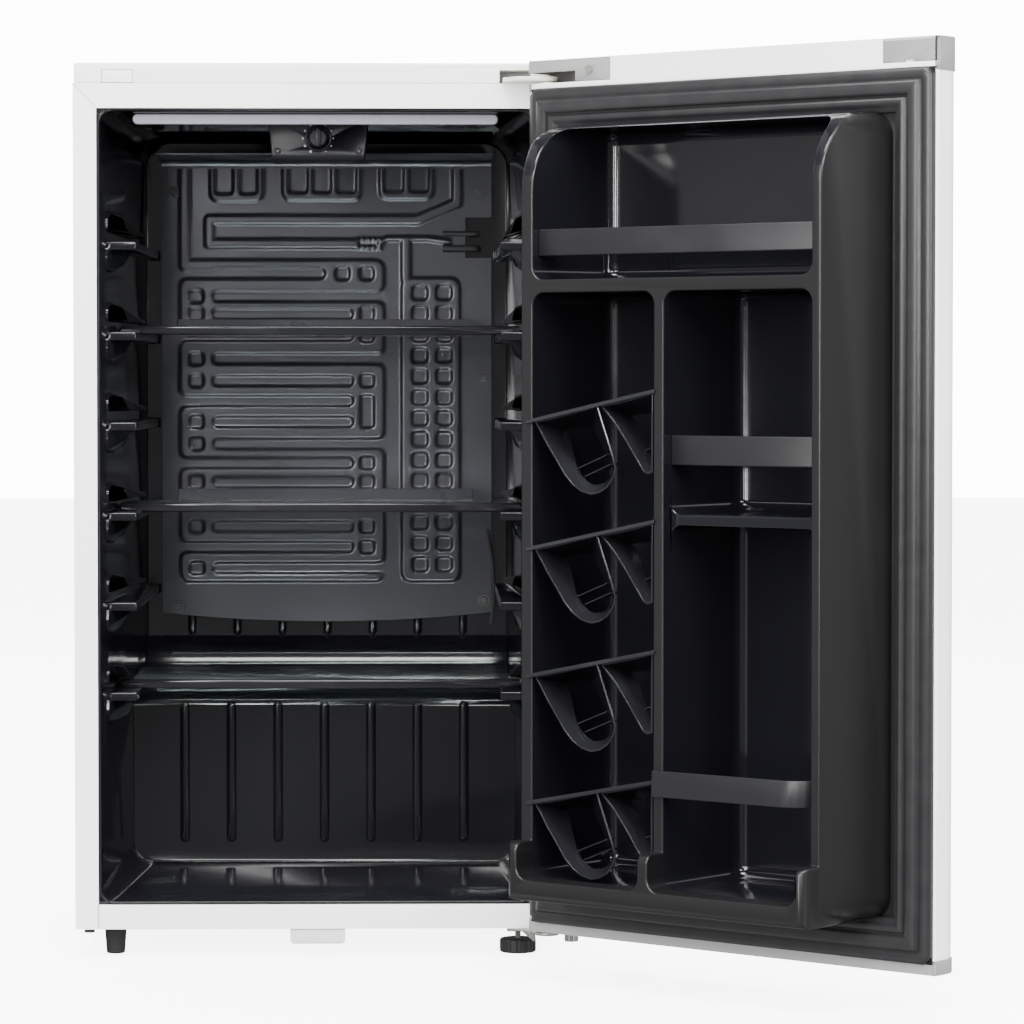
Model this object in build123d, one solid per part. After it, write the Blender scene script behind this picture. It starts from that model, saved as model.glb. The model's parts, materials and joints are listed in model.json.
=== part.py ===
from build123d import *
import math
import os

# Compact refrigerator with its door on the right-hand side, standing on four feet.
# All sizes are in millimetres. +X is the cabinet's right as seen from the front, +Y points into
# the cabinet, +Z is up. The origin is on the floor, under the middle of the cabinet.
# The door is drawn shut, then swung open about the hinge pins to the pose in which it is stored.

# ---------------------------------------------------------------- driving dimensions: cabinet
cabinet_width = 449.0
cabinet_depth = 445.0
foot_height = 28.0
shell_top = 811.0          # top of the steel wrapper above the floor
worktop_top = 830.0
sheet = 0.8                # steel sheet of the wrapper, rails and pans
frame_side = 21.5          # width of the front frame at each side
frame_top = 22.8
rail_height = 22.7         # bottom front rail
frame_return = 6.0         # depth of the lip folded in round the opening

# ---------------------------------------------------------------- driving dimensions: liner
liner_wall = 2.0
liner_gap = 1.0            # between the liner and the frame's lip
rear_space = 53.0          # behind the liner: foam, plate spacers and the back panel
liner_depth = cabinet_depth - rear_space
side_draft = 16.5          # how far each side wall has come in at the back
ceiling_draft = 6.5
floor_draft = 8.0
liner_corner = 12.0
liner_back_corner = 24.0
step_length = 130.0        # how far the step over the compressor bay comes forward of the liner's back
step_depth = liner_depth - step_length
step_top = 228.0
bay_length = 92.0          # how far the compressor bay comes forward of the liner's back
bay_depth = liner_depth - bay_length
bay_top = 190.0

# ---------------------------------------------------------------- driving dimensions: shelves
shelf_pitch = 84.8
lowest_level = 250.0       # top of the lowest glass shelf's trim
level_count = 6
shelf_levels = {"upper": 4, "lower": 2, "bottom": 0}
glass_thick = 4.0
glass_half = 183.0
trim_half = 191.0
trim_height = 8.6
trim_deep = 12.0
shelf_front = 130.0        # depth of the shelf's front edge behind the cabinet front
shelf_rear_space = 72.0    # between a shelf's glass and the liner's back wall
shelf_deep = liner_depth - shelf_front - shelf_rear_space
ledge_reach = 12.0         # how far a side ledge runs under the glass
ledge_height = 8.0
ledge_front = 62.0
slide_gap = 0.4

# ---------------------------------------------------------------- driving dimensions: door
door_thick = 45.0
door_gap = 10.0            # between the door's inner plane and the cabinet front
door_bottom = 29.0
door_top = 830.0
door_corner = 28.0         # radius of the door's vertical outer corners
top_rail_height = 29.0
bottom_rail_height = 12.6
skin = 0.7
skin_inset = 1.2           # the skin stands this far inside the rails
rail_wall = 2.5
open_angle = 139.3         # stored pose, counted from shut

hinge_inset = 12.0         # from the cabinet's side
hinge_forward = 23.0       # in front of the cabinet front
pin_radius = 4.0
pin_clearance = 0.05
pin_length = 20.0
bush_radius = 7.0

gasket_thick = 9.2
gasket_round = 4.0         # along the seal's outer front edge, so that it clears the frame as it swings
gasket_width = 38.0
gasket_side = 4.0          # from the door's edge to the gasket
gasket_bottom = 38.5
gasket_top = 803.7

# ---------------------------------------------------------------- driving dimensions: door liner
door_wall = 1.5
dyke_side = 46.0           # foot of the dyke from the door's edge
dyke_reach = 85.0          # how far the dyke stands into the cabinet
dyke_draft = 15.3
dyke_low = 74.0
dyke_high = 767.0
dyke_round = 62.0          # round at the dyke's upper front
pocket_side = 74.0
pocket_end = 378.0
foot_step = 23.0           # the dyke's lower end stands out this much further
foot_reach = dyke_reach + foot_step
foot_high = 126.0
pocket_low = 93.0
pocket_high = 762.0
pocket_recess = 27.0       # pocket floor behind the door's inner plane
pocket_round = 12.0
shelf_bar_low = 615.0      # moulded cross shelf under the top pocket
shelf_bar_high = 627.0
divider_left = 210.0       # measured from the hinge side
divider_right = 221.0
ledge_low = 411.0
ledge_high = 421.0
ledge_out = 75.0

# ---------------------------------------------------------------- derived places
half = cabinet_width / 2
front = -cabinet_depth / 2
back = cabinet_depth / 2
base = foot_height
open_half = half - frame_side
open_top = shell_top - frame_top
rail_top = base + rail_height
inner = front - door_gap               # door's inner plane, shut
outer = inner - door_thick
hinge_x = half - hinge_inset
hinge_y = front - hinge_forward
hinge_axis = Axis((hinge_x, hinge_y, 0), (0, 0, 1))
mouth_half = open_half - liner_gap - liner_wall
mouth_low = rail_top + liner_gap + liner_wall
mouth_top = open_top - liner_gap - liner_wall

parts = {}


def block(x, y, z):
    """A box between two places along each axis."""
    middle = [(low + high) / 2 for low, high in (x, y, z)]
    return Pos(*middle) * Box(x[1] - x[0], y[1] - y[0], z[1] - z[0])


def rounded(x, y, z, radius):
    """A box with every edge rounded."""
    return fillet(block(x, y, z).edges(), radius)


def post(x, y, z, radius):
    """An upright cylinder between two heights."""
    return Pos(x, y, (z[0] + z[1]) / 2) * Cylinder(radius, z[1] - z[0])


def rod(start, end, radius):
    """A straight cylinder between two points."""
    line = Line(start, end)
    return sweep(Plane(line @ 0, z_dir=line % 0) * Circle(radius), path=line)


def tube(points, bends, radius):
    """A round tube through the points, with an arc at each bend."""
    path = FilletPolyline(*points, radius=bends)
    return sweep(Plane(path @ 0, z_dir=path % 0) * Circle(radius), path=path)


def upright(points, x):
    """A flat outline given as (depth, height), extruded across the cabinet."""
    face = make_face(Polyline(*[(0, y, z) for y, z in points], close=True))
    return Pos(x[0], 0, 0) * extrude(face, amount=x[1] - x[0], dir=(1, 0, 0))


def across(points, y):
    """A flat outline given as (x, height), extruded along the depth."""
    face = make_face(Polyline(*[(x, 0, z) for x, z in points], close=True))
    return Pos(0, y[0], 0) * extrude(face, amount=y[1] - y[0], dir=(0, 1, 0))


def flat(points, z):
    """A plan outline given as (x, y), extruded upwards."""
    face = make_face(Polyline(*[(x, y, 0) for x, y in points], close=True))
    return Pos(0, 0, z[0]) * extrude(face, amount=z[1] - z[0], dir=(0, 0, 1))


def wall_half(depth):
    """Half the liner's inner width at a depth behind the cabinet front."""
    return mouth_half - side_draft * depth / liner_depth


def ceiling(depth):
    """Height of the liner's ceiling at a depth behind the cabinet front."""
    return mouth_top - ceiling_draft * depth / liner_depth


# ================================================================ cabinet shell
def make_wrapper():
    """Folded steel wrapper: two sides, top and the mitred front frame."""
    body = block((-half, half), (front, back - sheet), (base, shell_top))
    body -= block((-half + sheet, half - sheet), (front + sheet, back), (0, shell_top - sheet))
    body -= block((-open_half, open_half), (front - 1, front + 2), (0, open_top))
    lip_depth = (front + sheet, front + frame_return)
    for side in (-1, 1):
        edges = sorted((side * open_half, side * (open_half + sheet)))
        body += block(edges, lip_depth, (base, open_top + sheet))
        rear = sorted((side * (half - sheet), side * (half - 14)))
        body += block(rear, (back - 2 * sheet, back - sheet), (base, shell_top - sheet))
        groove = Pos(side * (half + open_half) / 2, front, (shell_top + open_top) / 2)
        body -= groove * Rot(0, side * 45, 0) * Box(0.5, 0.6, 3 * frame_top)
    body += block((-open_half, open_half), lip_depth, (open_top, open_top + sheet))
    return body


def make_bottom_rail():
    """Front cross rail, a channel with a turned-in lip above and a flange below."""
    wide = (-open_half + 0.2, open_half - 0.2)
    rail = block(wide, (front, front + sheet), (base, rail_top))
    rail += block(wide, (front, front + frame_return), (rail_top - sheet, rail_top))
    return rail + block(wide, (front, front + 30), (base, base + sheet))


recess_x = (169.0, 198.0)
recess_top = worktop_top - 6.5
recess_deep = 44.0


def make_worktop():
    """Moulded top cap, open below, with a hinge recess in each front corner."""
    edge = half - 1
    low = shell_top + 0.3
    cap = block((-edge, edge), (front + 0.5, back - 1), (low, worktop_top))
    cap = fillet(cap.edges().group_by(Axis.Z)[-1] + cap.edges().filter_by(Axis.Z), 2.4)
    wall = 2.5
    hollow = block((-edge + wall, edge - wall), (front + 3, back - 3.5), (low - 1, worktop_top - 3))
    for side in (-1, 1):
        xs = sorted((side * (recess_x[0] - wall), side * (recess_x[1] + wall)))
        hollow -= block(xs, (front, front + recess_deep + wall), (low - 1, worktop_top))
    cap -= hollow
    for side in (-1, 1):
        xs = sorted((side * recess_x[0], side * recess_x[1]))
        cap -= block(xs, (front - 1, front + recess_deep), (low - 1, recess_top))
    for place in (-100, 0, 100):
        cap += block((place - 1, place + 1), (front + 2.5, back - 3), (low + 6, worktop_top - 2.5))
    return cap


def make_recess_plug():
    """Snap-in plug that closes the unused hinge recess."""
    xs = (-recess_x[1] + 0.4, -recess_x[0] - 0.4)
    zs = (shell_top + 0.7, recess_top - 0.4)
    plug = block(xs, (front + 0.6, front + 12), zs)
    return plug - block((xs[0] + 2, xs[1] - 2), (front + 2.8, front + 13), (zs[0] + 2, zs[1] - 2))


def make_base_pan():
    """Steel floor of the cabinet and of the compressor bay."""
    edge = half - sheet - 0.2
    pan = block((-edge, edge), (front + 30.3, back - 2 * sheet - 0.2), (base, base + sheet))
    return pan - post(foot_x, foot_y, (base - 1, base + 2), stud_radius + 0.5)


def make_bay_panel():
    """Folded panel that separates the compressor bay from the foam."""
    edge = half - sheet - 0.3
    wide = (-edge, edge)
    panel = block(wide, (front + bay_depth, front + bay_depth + sheet), (base + sheet + 0.1, bay_top))
    end = back - 2 * sheet - 0.3
    panel += block(wide, (front + bay_depth, end), (bay_top - sheet, bay_top))
    return panel - drain_route(drain_radius + 0.3, 0)


def make_back_panel():
    """Flat steel back above the compressor bay, pressed with stiffening channels."""
    panel = block((-half + 1, half - 1), (back - sheet, back), (bay_top - 12, shell_top - 2))
    for place in (-120, 0, 120):
        panel -= block((place - 5, place + 5), (back - 0.35, back + 1), (bay_top + 30, shell_top - 40))
    return panel


# ================================================================ liner
def cavity(grow):
    """The drafted box of the liner, its walls moved outwards by grow, without the step."""
    start = front + liner_gap
    ends = []
    for depth, inset, drop, rise, corner in (
        (0, 0, 0, 0, liner_corner),
        (liner_depth, side_draft, ceiling_draft, floor_draft, liner_back_corner),
    ):
        wide = 2 * (mouth_half - inset + grow)
        low = mouth_low + rise - grow
        high = mouth_top - drop + grow
        centre = (0, start + depth + (grow if depth else 0), (low + high) / 2)
        place = Plane(centre, x_dir=(1, 0, 0), z_dir=(0, 1, 0))
        ends.append(place * RectangleRounded(wide, high - low, corner + grow))
    return loft(ends)


def step(shrink):
    """The step over the compressor bay, its faces moved inwards by shrink."""
    rear = front + liner_depth + 20
    zs = (0, step_top - shrink)
    solid = block((-half, half), (front + step_depth + shrink, rear), zs)
    edge = solid.edges().filter_by(Axis.X).group_by(Axis.Z)[-1].sort_by(Axis.Y)[0]
    return fillet(edge, 16 - shrink)


def make_liner():
    """Vacuum-formed inner liner with its lip, step and moulded shelf ledges."""
    outside = cavity(liner_wall) - step(liner_wall)
    inside = cavity(0) - step(0)
    liner = outside - inside
    lip = (front + frame_return + 0.6, front + frame_return + 2.1)
    reach = 12.0
    edge = mouth_half + liner_wall + reach
    flange = block((-edge, edge), lip, (mouth_low - 8, mouth_top + liner_wall + reach))
    liner += flange - cavity(liner_wall * 0.5)
    for level in range(level_count):
        top = lowest_level + level * shelf_pitch - trim_height / 2 - glass_thick / 2 - slide_gap
        rear = liner_depth + 1 if level else step_depth
        for side in (-1, 1):
            xs = sorted((side * (glass_half - ledge_reach), side * half))
            ledge = block(xs, (front + ledge_front, front + rear), (top - ledge_height, top))
            liner += ledge & cavity(liner_wall * 0.5)
    return liner


def make_foam():
    """Insulation between the wrapper, liner, back and compressor bay."""
    edge = half - sheet
    ys = (front + frame_return + 2.2, back - 2 * sheet - 0.1)
    foam = block((-edge, edge), ys, (base + sheet + 0.1, shell_top - sheet))
    foam -= cavity(liner_wall) - step(liner_wall)
    bay = (front + bay_depth - 0.1, back + 1)
    foam -= block((-half, half), bay, (0, bay_top + 0.1))
    foam -= condenser_tube(0.1)
    foam -= post(foot_x, foot_y, (0, base + 24), stud_radius + 4)
    foam -= drain_route(drain_radius + 0.05, 0)
    return foam


# ================================================================ refrigeration
plate_gap = 8.0            # between the plate's front and the liner's back wall
plate_y = front + liner_depth - plate_gap
plate_half = 167.5
plate_thick = 1.5
plate_low = 300.0
plate_dip = 9.0
plate_bend_z = 752.0
plate_leaf = 95.0


def make_evaporator():
    """Roll-bonded aluminium plate on the back wall, bent forward under the ceiling."""
    side_low = (plate_half, plate_low)
    corners = ((-plate_half, plate_low), (-plate_half, plate_bend_z), (plate_half, plate_bend_z), side_low)
    outline = Polyline(*corners)
    dip = ThreePointArc(side_low, (0, plate_low - plate_dip), (-plate_half, plate_low))
    sheet_face = make_face(outline + dip)
    sheet_face -= Pos(plate_half, 682) * RectangleRounded(66, 41, 8)
    plate = Plane((0, plate_y + plate_thick, 0), x_dir=(1, 0, 0), z_dir=(0, -1, 0)) * sheet_face
    plate = extrude(plate, amount=plate_thick)
    bend = 10.0
    centre_y = plate_y + plate_thick - bend
    ring = Cylinder(bend, 2 * plate_half) - Cylinder(bend - plate_thick, 2 * plate_half + 2)
    ring = Pos(0, centre_y, plate_bend_z) * Rot(0, 90, 0) * ring
    ring &= block((-half, half), (centre_y, plate_y + 9), (plate_bend_z, plate_bend_z + 2 * bend))
    leaf_top = plate_bend_z + bend
    leaf_z = (leaf_top - plate_thick, leaf_top)
    leaf = block((-plate_half, plate_half), (centre_y - plate_leaf, centre_y), leaf_z)
    return plate + ring + leaf


screw_places = ((-154, 728), (156, 728), (160, 540), (160, 312), (-152, 306))


def make_evaporator_screws():
    """Screws with moulded spacers that stand the plate off the back wall."""
    screws = []
    for x, z in screw_places:
        head = Cylinder(4.2, 2.4) - Pos(0, 0, 1.2) * Box(5, 1, 1.2)
        head = Pos(x, plate_y - 1.3, z) * Rot(90, 0, 0) * head
        screws.append(fillet(head.edges().filter_by(GeomType.CIRCLE).sort_by(Axis.Y)[0], 0.9))
        spacer = Pos(x, plate_y + plate_thick + 3, z) * Rot(90, 0, 0) * Cylinder(5, 5.6)
        screws.append(spacer)
    return screws


tube_hole_x = 153.0


def make_evaporator_tubes():
    """Sleeved suction and capillary tubes that leave the plate through its notch."""
    tubes = []
    for z, size in ((671.0, 3.6), (686.0, 2.6)):
        near = plate_y - size - 0.1
        points = [(118, near, z), (tube_hole_x, near, z), (tube_hole_x, plate_y + 8.9, z)]
        tubes.append(tube(points, 4.5, size))
    return tubes


condenser_radius = 2.4
condenser_runs = 9
condenser_low = 232.0
condenser_pitch = 62.0


def condenser_tube(clear):
    """Serpentine tube that lies against the inside of the right-hand side sheet."""
    x = half - sheet - condenser_radius - 0.2
    near, far = front + 50, back - 48
    points = [(x, far + 20, condenser_low)]
    for run in range(condenser_runs):
        z = condenser_low + run * condenser_pitch
        ends = (far, near) if run % 2 == 0 else (near, far)
        points += [(x, ends[0], z)] * (run > 0) + [(x, ends[1], z)]
    return tube(points, 14, condenser_radius + clear)


compressor_x = 60.0
compressor_y = front + bay_depth + 71.0
compressor_radius = 58.0
mount_span = 78.0
grommet_radius = 9.0
grommet_height = 14.0


def make_compressor():
    """Welded steel shell on a foot plate, with its stub pipes."""
    floor = base + sheet
    plate_z = floor + grommet_height
    foot = Pos(compressor_x, compressor_y, plate_z + 1.5) * Box(2 * mount_span + 24, 96, 3)
    foot = fillet(foot.edges().filter_by(Axis.Z), 14)
    shell = post(compressor_x, compressor_y, (plate_z + 3, plate_z + 112), compressor_radius)
    shell = fillet(shell.edges().filter_by(GeomType.CIRCLE).sort_by(Axis.Z)[-1], 30)
    seam = post(compressor_x, compressor_y, (plate_z + 52, plate_z + 57), compressor_radius + 2.5)
    body = foot + shell + seam
    for dx in (-mount_span, mount_span):
        for dy in (-34, 34):
            body -= post(compressor_x + dx, compressor_y + dy, (plate_z - 1, plate_z + 5), 5)
    return body


def make_grommets():
    """Rubber mounts between the compressor's foot plate and the base pan."""
    floor = base + sheet
    mounts = []
    for dx in (-mount_span, mount_span):
        for dy in (-34, 34):
            x, y = compressor_x + dx, compressor_y + dy
            low = post(x, y, (floor, floor + grommet_height), grommet_radius)
            mounts.append(low + post(x, y, (floor, floor + grommet_height + 5), 4.9))
    return mounts


def make_relay_box():
    """Terminal cover with the start relay and overload switch."""
    side = compressor_x - compressor_radius - 2.7
    return rounded((side - 34, side), (compressor_y - 26, compressor_y + 26), (66, 122), 4)


def make_drip_tray():
    """Tray that catches and evaporates the defrost water, on top of the compressor."""
    low = base + sheet + grommet_height + 112.2
    xs, ys = (compressor_x - 70, compressor_x + 70), (compressor_y - 50, compressor_y + 50)
    tray = rounded(xs, ys, (low, low + 40), 6)
    tray &= block(xs, ys, (low, low + 22))
    return tray - rounded((xs[0] + 2, xs[1] - 2), (ys[0] + 2, ys[1] - 2), (low + 2, low + 60), 5)


drain_radius = 5.0
drain_bore = 3.5
drain_x = 100.0
drain_z = 262.0


def drain_route(radius, extra):
    """The drain's line from the liner's back wall down to the drip tray, longer by extra at each end."""
    start = front + liner_gap + liner_depth + liner_wall + 0.05
    points = [
        (drain_x, start - extra, drain_z),
        (drain_x, start + 17, drain_z),
        (drain_x, start + 17, drain_z - 40),
        (drain_x, start + 10, 178 - extra),
    ]
    return tube(points, 9, radius)


def make_drain_hose():
    """Hose from the liner's gutter through the foam to the drip tray."""
    return drain_route(drain_radius, 0) - drain_route(drain_bore, 1)


def make_refrigerant_lines():
    """Copper discharge and suction lines with the filter drier, in the compressor bay."""
    x, y = compressor_x, compressor_y
    right = x + compressor_radius + 2.7
    z = base + sheet + grommet_height
    discharge = tube([(right, y - 12, z + 30), (right + 30, y - 12, z + 30), (right + 50, y - 12, z + 60),
                      (right + 70, y + 20, z + 90)], 8, 2.4)
    bends = [(right, y + 14, z + 46), (right + 24, y + 14, z + 46), (right + 24, y + 34, z + 120)]
    suction = tube(bends, 8, 3.2)
    left = x - 150
    drier = rod((left, y, 60), (left, y, 130), 9)
    drier = fillet(drier.edges().filter_by(GeomType.CIRCLE), 5)
    drier += rod((left, y, 130), (left, y, 160), 2.4)
    return [discharge, suction, drier]


gland_bore = 3.6


def make_cord_gland():
    """Inlet gland for the supply lead, clipped to the rear of the base pan."""
    x, z = -150.0, base + sheet
    bracket = block((x - 16, x + 16), (back - 12, back - 2.2), (z, z + 24))
    gland = Pos(x, back - 7, z + 12) * Rot(90, 0, 0) * (Cylinder(8, 18))
    hole = Pos(x, back - 7, z + 12) * Rot(90, 0, 0) * Cylinder(gland_bore, 40)
    return bracket + gland - hole


# ================================================================ feet and lower fittings
foot_x = 187.0
foot_y = front + 45.0
stud_radius = 3.0
knob_radius = 17.2
knob_height = 13.0


def make_tapered_foot(x, y):
    """Moulded foot that narrows towards the floor."""
    profile = Polyline((0, 0), (8.6, 0), (10.6, foot_height), (0, foot_height), close=True)
    foot = revolve(Plane.XZ * make_face(profile), Axis.Z)
    return Pos(x, y, 0) * fillet(foot.edges().filter_by(GeomType.CIRCLE).sort_by(Axis.Z)[0], 1.5)


def make_levelling_stud():
    """Threaded stud of the levelling foot."""
    return post(foot_x, foot_y, (knob_height - 8, base + 20), stud_radius)


def make_levelling_knob():
    """Lobed hand wheel that the levelling foot stands on."""
    wheel = post(foot_x, foot_y, (0, knob_height), knob_radius)
    rims = wheel.edges().filter_by(GeomType.CIRCLE)
    wheel = fillet(rims, 2.2)
    for turn in range(12):
        angle = math.radians(30 * turn)
        x = foot_x + (knob_radius + 1.6) * math.cos(angle)
        y = foot_y + (knob_radius + 1.6) * math.sin(angle)
        wheel -= post(x, y, (-1, knob_height + 1), 2.6)
    return wheel - post(foot_x, foot_y, (knob_height - 8, knob_height + 1), stud_radius)


def make_lower_tab():
    """Thin clear tab that hangs under the middle of the bottom rail."""
    tab = block((-25.5, 25.5), (front + 2, front + 3.2), (13.8, base))
    tab = fillet(tab.edges().filter_by(Axis.Y).group_by(Axis.Z)[0], 4)
    return tab + block((-25.5, 25.5), (front + 2, front + 18), (base - 1.2, base))


def make_corner_plug():
    """Bolt that fills the hinge hole under the left-hand corner."""
    x, y = -hinge_x, front + 14
    head = extrude(Pos(x, y, base - 4.5) * RegularPolygon(5, 6), amount=3.4)
    return head + post(x, y, (base - 1.2, base), 6)


# ================================================================ hinges
leaf_low = shell_top + 0.1
leaf_thick = 4.4
leaf_left = 172.0
leaf_round = 9.5
notch_reach = 45.0
notch_deep = 27.0
notch_z = (808.5, 818.5)
hinge_screw_x = 184.5


def make_top_hinge():
    """Upper hinge leaf, screwed to the cabinet top, with its pin."""
    z = (leaf_low, leaf_low + leaf_thick)
    tip = hinge_y - leaf_round
    outline = [
        (leaf_left, front - 0.4), (leaf_left, hinge_y + 6), (leaf_left + 13, tip), (hinge_x, tip),
        (hinge_x + leaf_round, hinge_y), (hinge_x + leaf_round * 0.6, hinge_y + leaf_round * 0.8),
        (recess_x[1] - 1, front - 0.4),
    ]
    leaf = flat(outline, z) + post(hinge_x, hinge_y, z, leaf_round)
    leaf += block((leaf_left, recess_x[1] - 1), (front - 1, front + recess_deep - 2), z)
    for y in (front + 14, front + 32):
        leaf -= post(hinge_screw_x, y, (z[0] - 1, z[1] + 1), 2.8)
    return leaf + post(hinge_x, hinge_y, (z[0] - pin_length, z[0] + 1), pin_radius)



def make_hinge_screws():
    """Pan-head screws of the upper hinge leaf."""
    top = leaf_low + leaf_thick
    screws = []
    for y in (front + 14, front + 32):
        head = post(hinge_screw_x, y, (top, top + 3), 5)
        head = fillet(head.edges().filter_by(GeomType.CIRCLE).sort_by(Axis.Z)[-1], 1.6)
        head -= Pos(hinge_screw_x, y, top + 3) * Box(6.5, 1.2, 2)
        screws.append(head + post(hinge_screw_x, y, (leaf_low, top + 1), 2.7))
    return screws


def make_bottom_hinge():
    """Lower hinge bracket under the cabinet, with its pin and gusset."""
    z = (base - 3, base)
    plate = block((176, hinge_x + 9), (front + 0.5, front + 62), z)
    corners = [(196, front + 1), (hinge_x + 10, front + 1), (hinge_x + 11, hinge_y), (hinge_x - 11, hinge_y)]
    arm = flat(corners, z)
    end = post(hinge_x, hinge_y, z, 11)
    gusset = across([(188, base - 1), (201.5, base - 1), (203, 16), (200.5, 16)], (front - 3, front - 0.5))
    bridge = block((190, 203), (front - 3, front + 2), z)
    bracket = plate + arm + end + gusset + bridge
    bracket += post(hinge_x, hinge_y, (base - 1, base + 1 + pin_length), pin_radius)
    return bracket - post(foot_x, foot_y, (0, base + 2), stud_radius + 0.4)


def make_hinge_spacer():
    """Moulded block that keeps the door off the lower bracket."""
    return block((196.5, 202.8), (front - 7, front - 1), (base + 0.1, base + 8.5))


# ================================================================ inside fittings
housing_half = 47.0
housing_front = front + 62.0
housing_rear = front + 118.0
housing_low = 743.0
housing_wall = 2.0
knob_z = 764.0
dial_radius = 9.0
shaft_radius = 3.0


def housing_outline(shrink, top):
    """Front outline of the thermostat housing, narrower below than above."""
    wide, low = housing_half - shrink, housing_low + shrink
    return [(-wide, top), (-wide + 4, low), (wide - 4, low), (wide, top)]


def make_housing():
    """Thermostat housing screwed under the ceiling, with the dial's hole."""
    top = ceiling(housing_rear - front) - 0.3
    shell = across(housing_outline(0, top), (housing_front, housing_rear))
    front_edges = shell.edges().group_by(Axis.Y)[0].filter_by(Axis.X)
    shell = fillet(front_edges.sort_by(Axis.Z)[0], 6)
    ys = (housing_front + housing_wall + 4, housing_rear - housing_wall)
    hollow = across(housing_outline(housing_wall, top + 5), ys)
    shell -= hollow
    return shell - rod((0, housing_front - 5, knob_z), (0, housing_front + 12, knob_z), shaft_radius + 0.3)


def make_thermostat():
    """Thermostat switch behind the dial."""
    return rounded((-16, 16), (housing_front + 8, housing_front + 40), (knob_z - 14, knob_z + 14), 2)


def make_dial():
    """Thermostat dial with its grip ridge and shaft."""
    dial = rod((0, housing_front - 12, knob_z), (0, housing_front - 0.5, knob_z), dial_radius)
    dial = fillet(dial.edges().filter_by(GeomType.CIRCLE).sort_by(Axis.Y)[0], 1.2)
    dial += rounded((-2.2, 2.2), (housing_front - 16, housing_front - 9), (knob_z - 8, knob_z + 8), 1)
    return dial + rod((0, housing_front - 2, knob_z), (0, housing_front + 7.6, knob_z), shaft_radius)


def make_ceiling_bar():
    """Rounded bar across the ceiling just behind the opening."""
    top = ceiling(36) - 0.2
    bar = block((-171, 168), (front + 24, front + 36), (top - 9.5, top))
    bar = fillet(bar.edges().filter_by(Axis.Y), 4.5)
    return fillet(bar.edges().filter_by(Axis.X).group_by(Axis.Z)[0], 1.5)


def shelf_top(level):
    """Height of the top of a shelf's front trim."""
    return lowest_level + level * shelf_pitch


def make_shelf(name, level):
    """Glass pane with a front trim and, where the plate is behind it, a rear bar."""
    top = shelf_top(level)
    glass_low = top - trim_height / 2 - glass_thick / 2
    glass_high = glass_low + glass_thick
    start = front + shelf_front
    rear = start + (shelf_deep if level else step_depth - shelf_front + 86)
    glass = block((-glass_half, glass_half), (start + 2, rear), (glass_low, glass_high))
    parts[f"{name}_shelf_glass"] = fillet(glass.edges().filter_by(Axis.Z), 5)
    trim = block((-trim_half, trim_half), (start, start + trim_deep), (top - trim_height, top))
    trim = fillet(trim.edges().group_by(Axis.Y)[0].filter_by(Axis.X), 2)
    slot = block((-glass_half - 0.2, glass_half + 0.2), (start + 1.8, start + trim_deep + 1),
                 (glass_low - 0.05, glass_high + 0.05))
    for side in (-1, 1):
        xs = sorted((side * (glass_half - ledge_reach - 1), side * (trim_half + 1)))
        trim -= block(xs, (start - 1, start + trim_deep + 1), (0, glass_low - slide_gap + 0.1))
    parts[f"{name}_shelf_trim"] = trim - slot
    if not level:
        return
    ends = [(rear - 14, glass_high + 0.1), (rear + 1.5, glass_high + 0.1), (rear + 1.5, glass_high + 11),
            (rear - 4, glass_high + 11)]
    bar = upright(ends, (-bar_half, bar_half))
    bar += block((-bar_half, bar_half), (rear + 0.1, rear + 1.5), (glass_low - 2, glass_high + 1))
    parts[f"{name}_shelf_rear_bar"] = bar


# ================================================================ door, drawn shut
def door_x(u):
    """X of a place measured along the door from its hinge side."""
    return half - u


def door_block(u, n, z):
    """A box on the door: along it from the hinge side, out from its inner plane, and in height."""
    return block((door_x(u[1]), door_x(u[0])), (inner + n[0], inner + n[1]), z)


def door_rounded(u, n, z, radius):
    """The same box with rounded edges."""
    return fillet(door_block(u, n, z).edges(), radius)


def door_plan(inset, z):
    """The door's plan outline, with rounded outer corners, moved in and extruded in height."""
    solid = block((-half + inset, half - inset), (outer + inset, inner - inset), z)
    uprights = solid.edges().filter_by(Axis.Z)
    solid = fillet(uprights.group_by(Axis.Y)[0], door_corner - inset)
    return fillet(solid.edges().filter_by(Axis.Z).group_by(Axis.Y)[-1], 2.0)


gasket_seat = door_block((0, cabinet_width), (-1.6, 1), (gasket_bottom - 0.1, 60))
skin_z = (door_bottom + bottom_rail_height + 0.1, door_top - top_rail_height - 0.1)


def make_skin():
    """Painted steel door skin, wrapped round the sides with a narrow return."""
    shell = door_plan(skin_inset, skin_z)
    core = door_plan(skin_inset + skin, (skin_z[0] - 1, skin_z[1] + 1))
    opening = door_block((gasket_side - 0.4, cabinet_width - gasket_side + 0.4), (-5, 5), (0, door_top))
    return shell - core - opening


cap_back = 3.5
cap_wrap = 28.0
cover_end = 95.0
cover_z = (808.8, 828.6)
plate_start = 392.0


def cap_region(side, grow, z):
    """The part of a rail's end that a grey corner cap takes: side -1 is the free end."""
    deep = block(sorted((side * (half - cap_wrap - grow), side * (half + 5))), (outer - 5, inner - cap_back), z)
    edge = block(sorted((side * (half - 3.6 - grow), side * (half + 5))), (outer - 5, inner + 5), z)
    return deep + edge


def leaf_notch():
    """Room for the upper hinge leaf to turn inside the door's top corner."""
    reach = post(hinge_x, hinge_y, notch_z, notch_reach)
    return reach & block((door_x(54.7), half + 5), (inner - notch_deep, inner + 5), notch_z)


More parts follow.
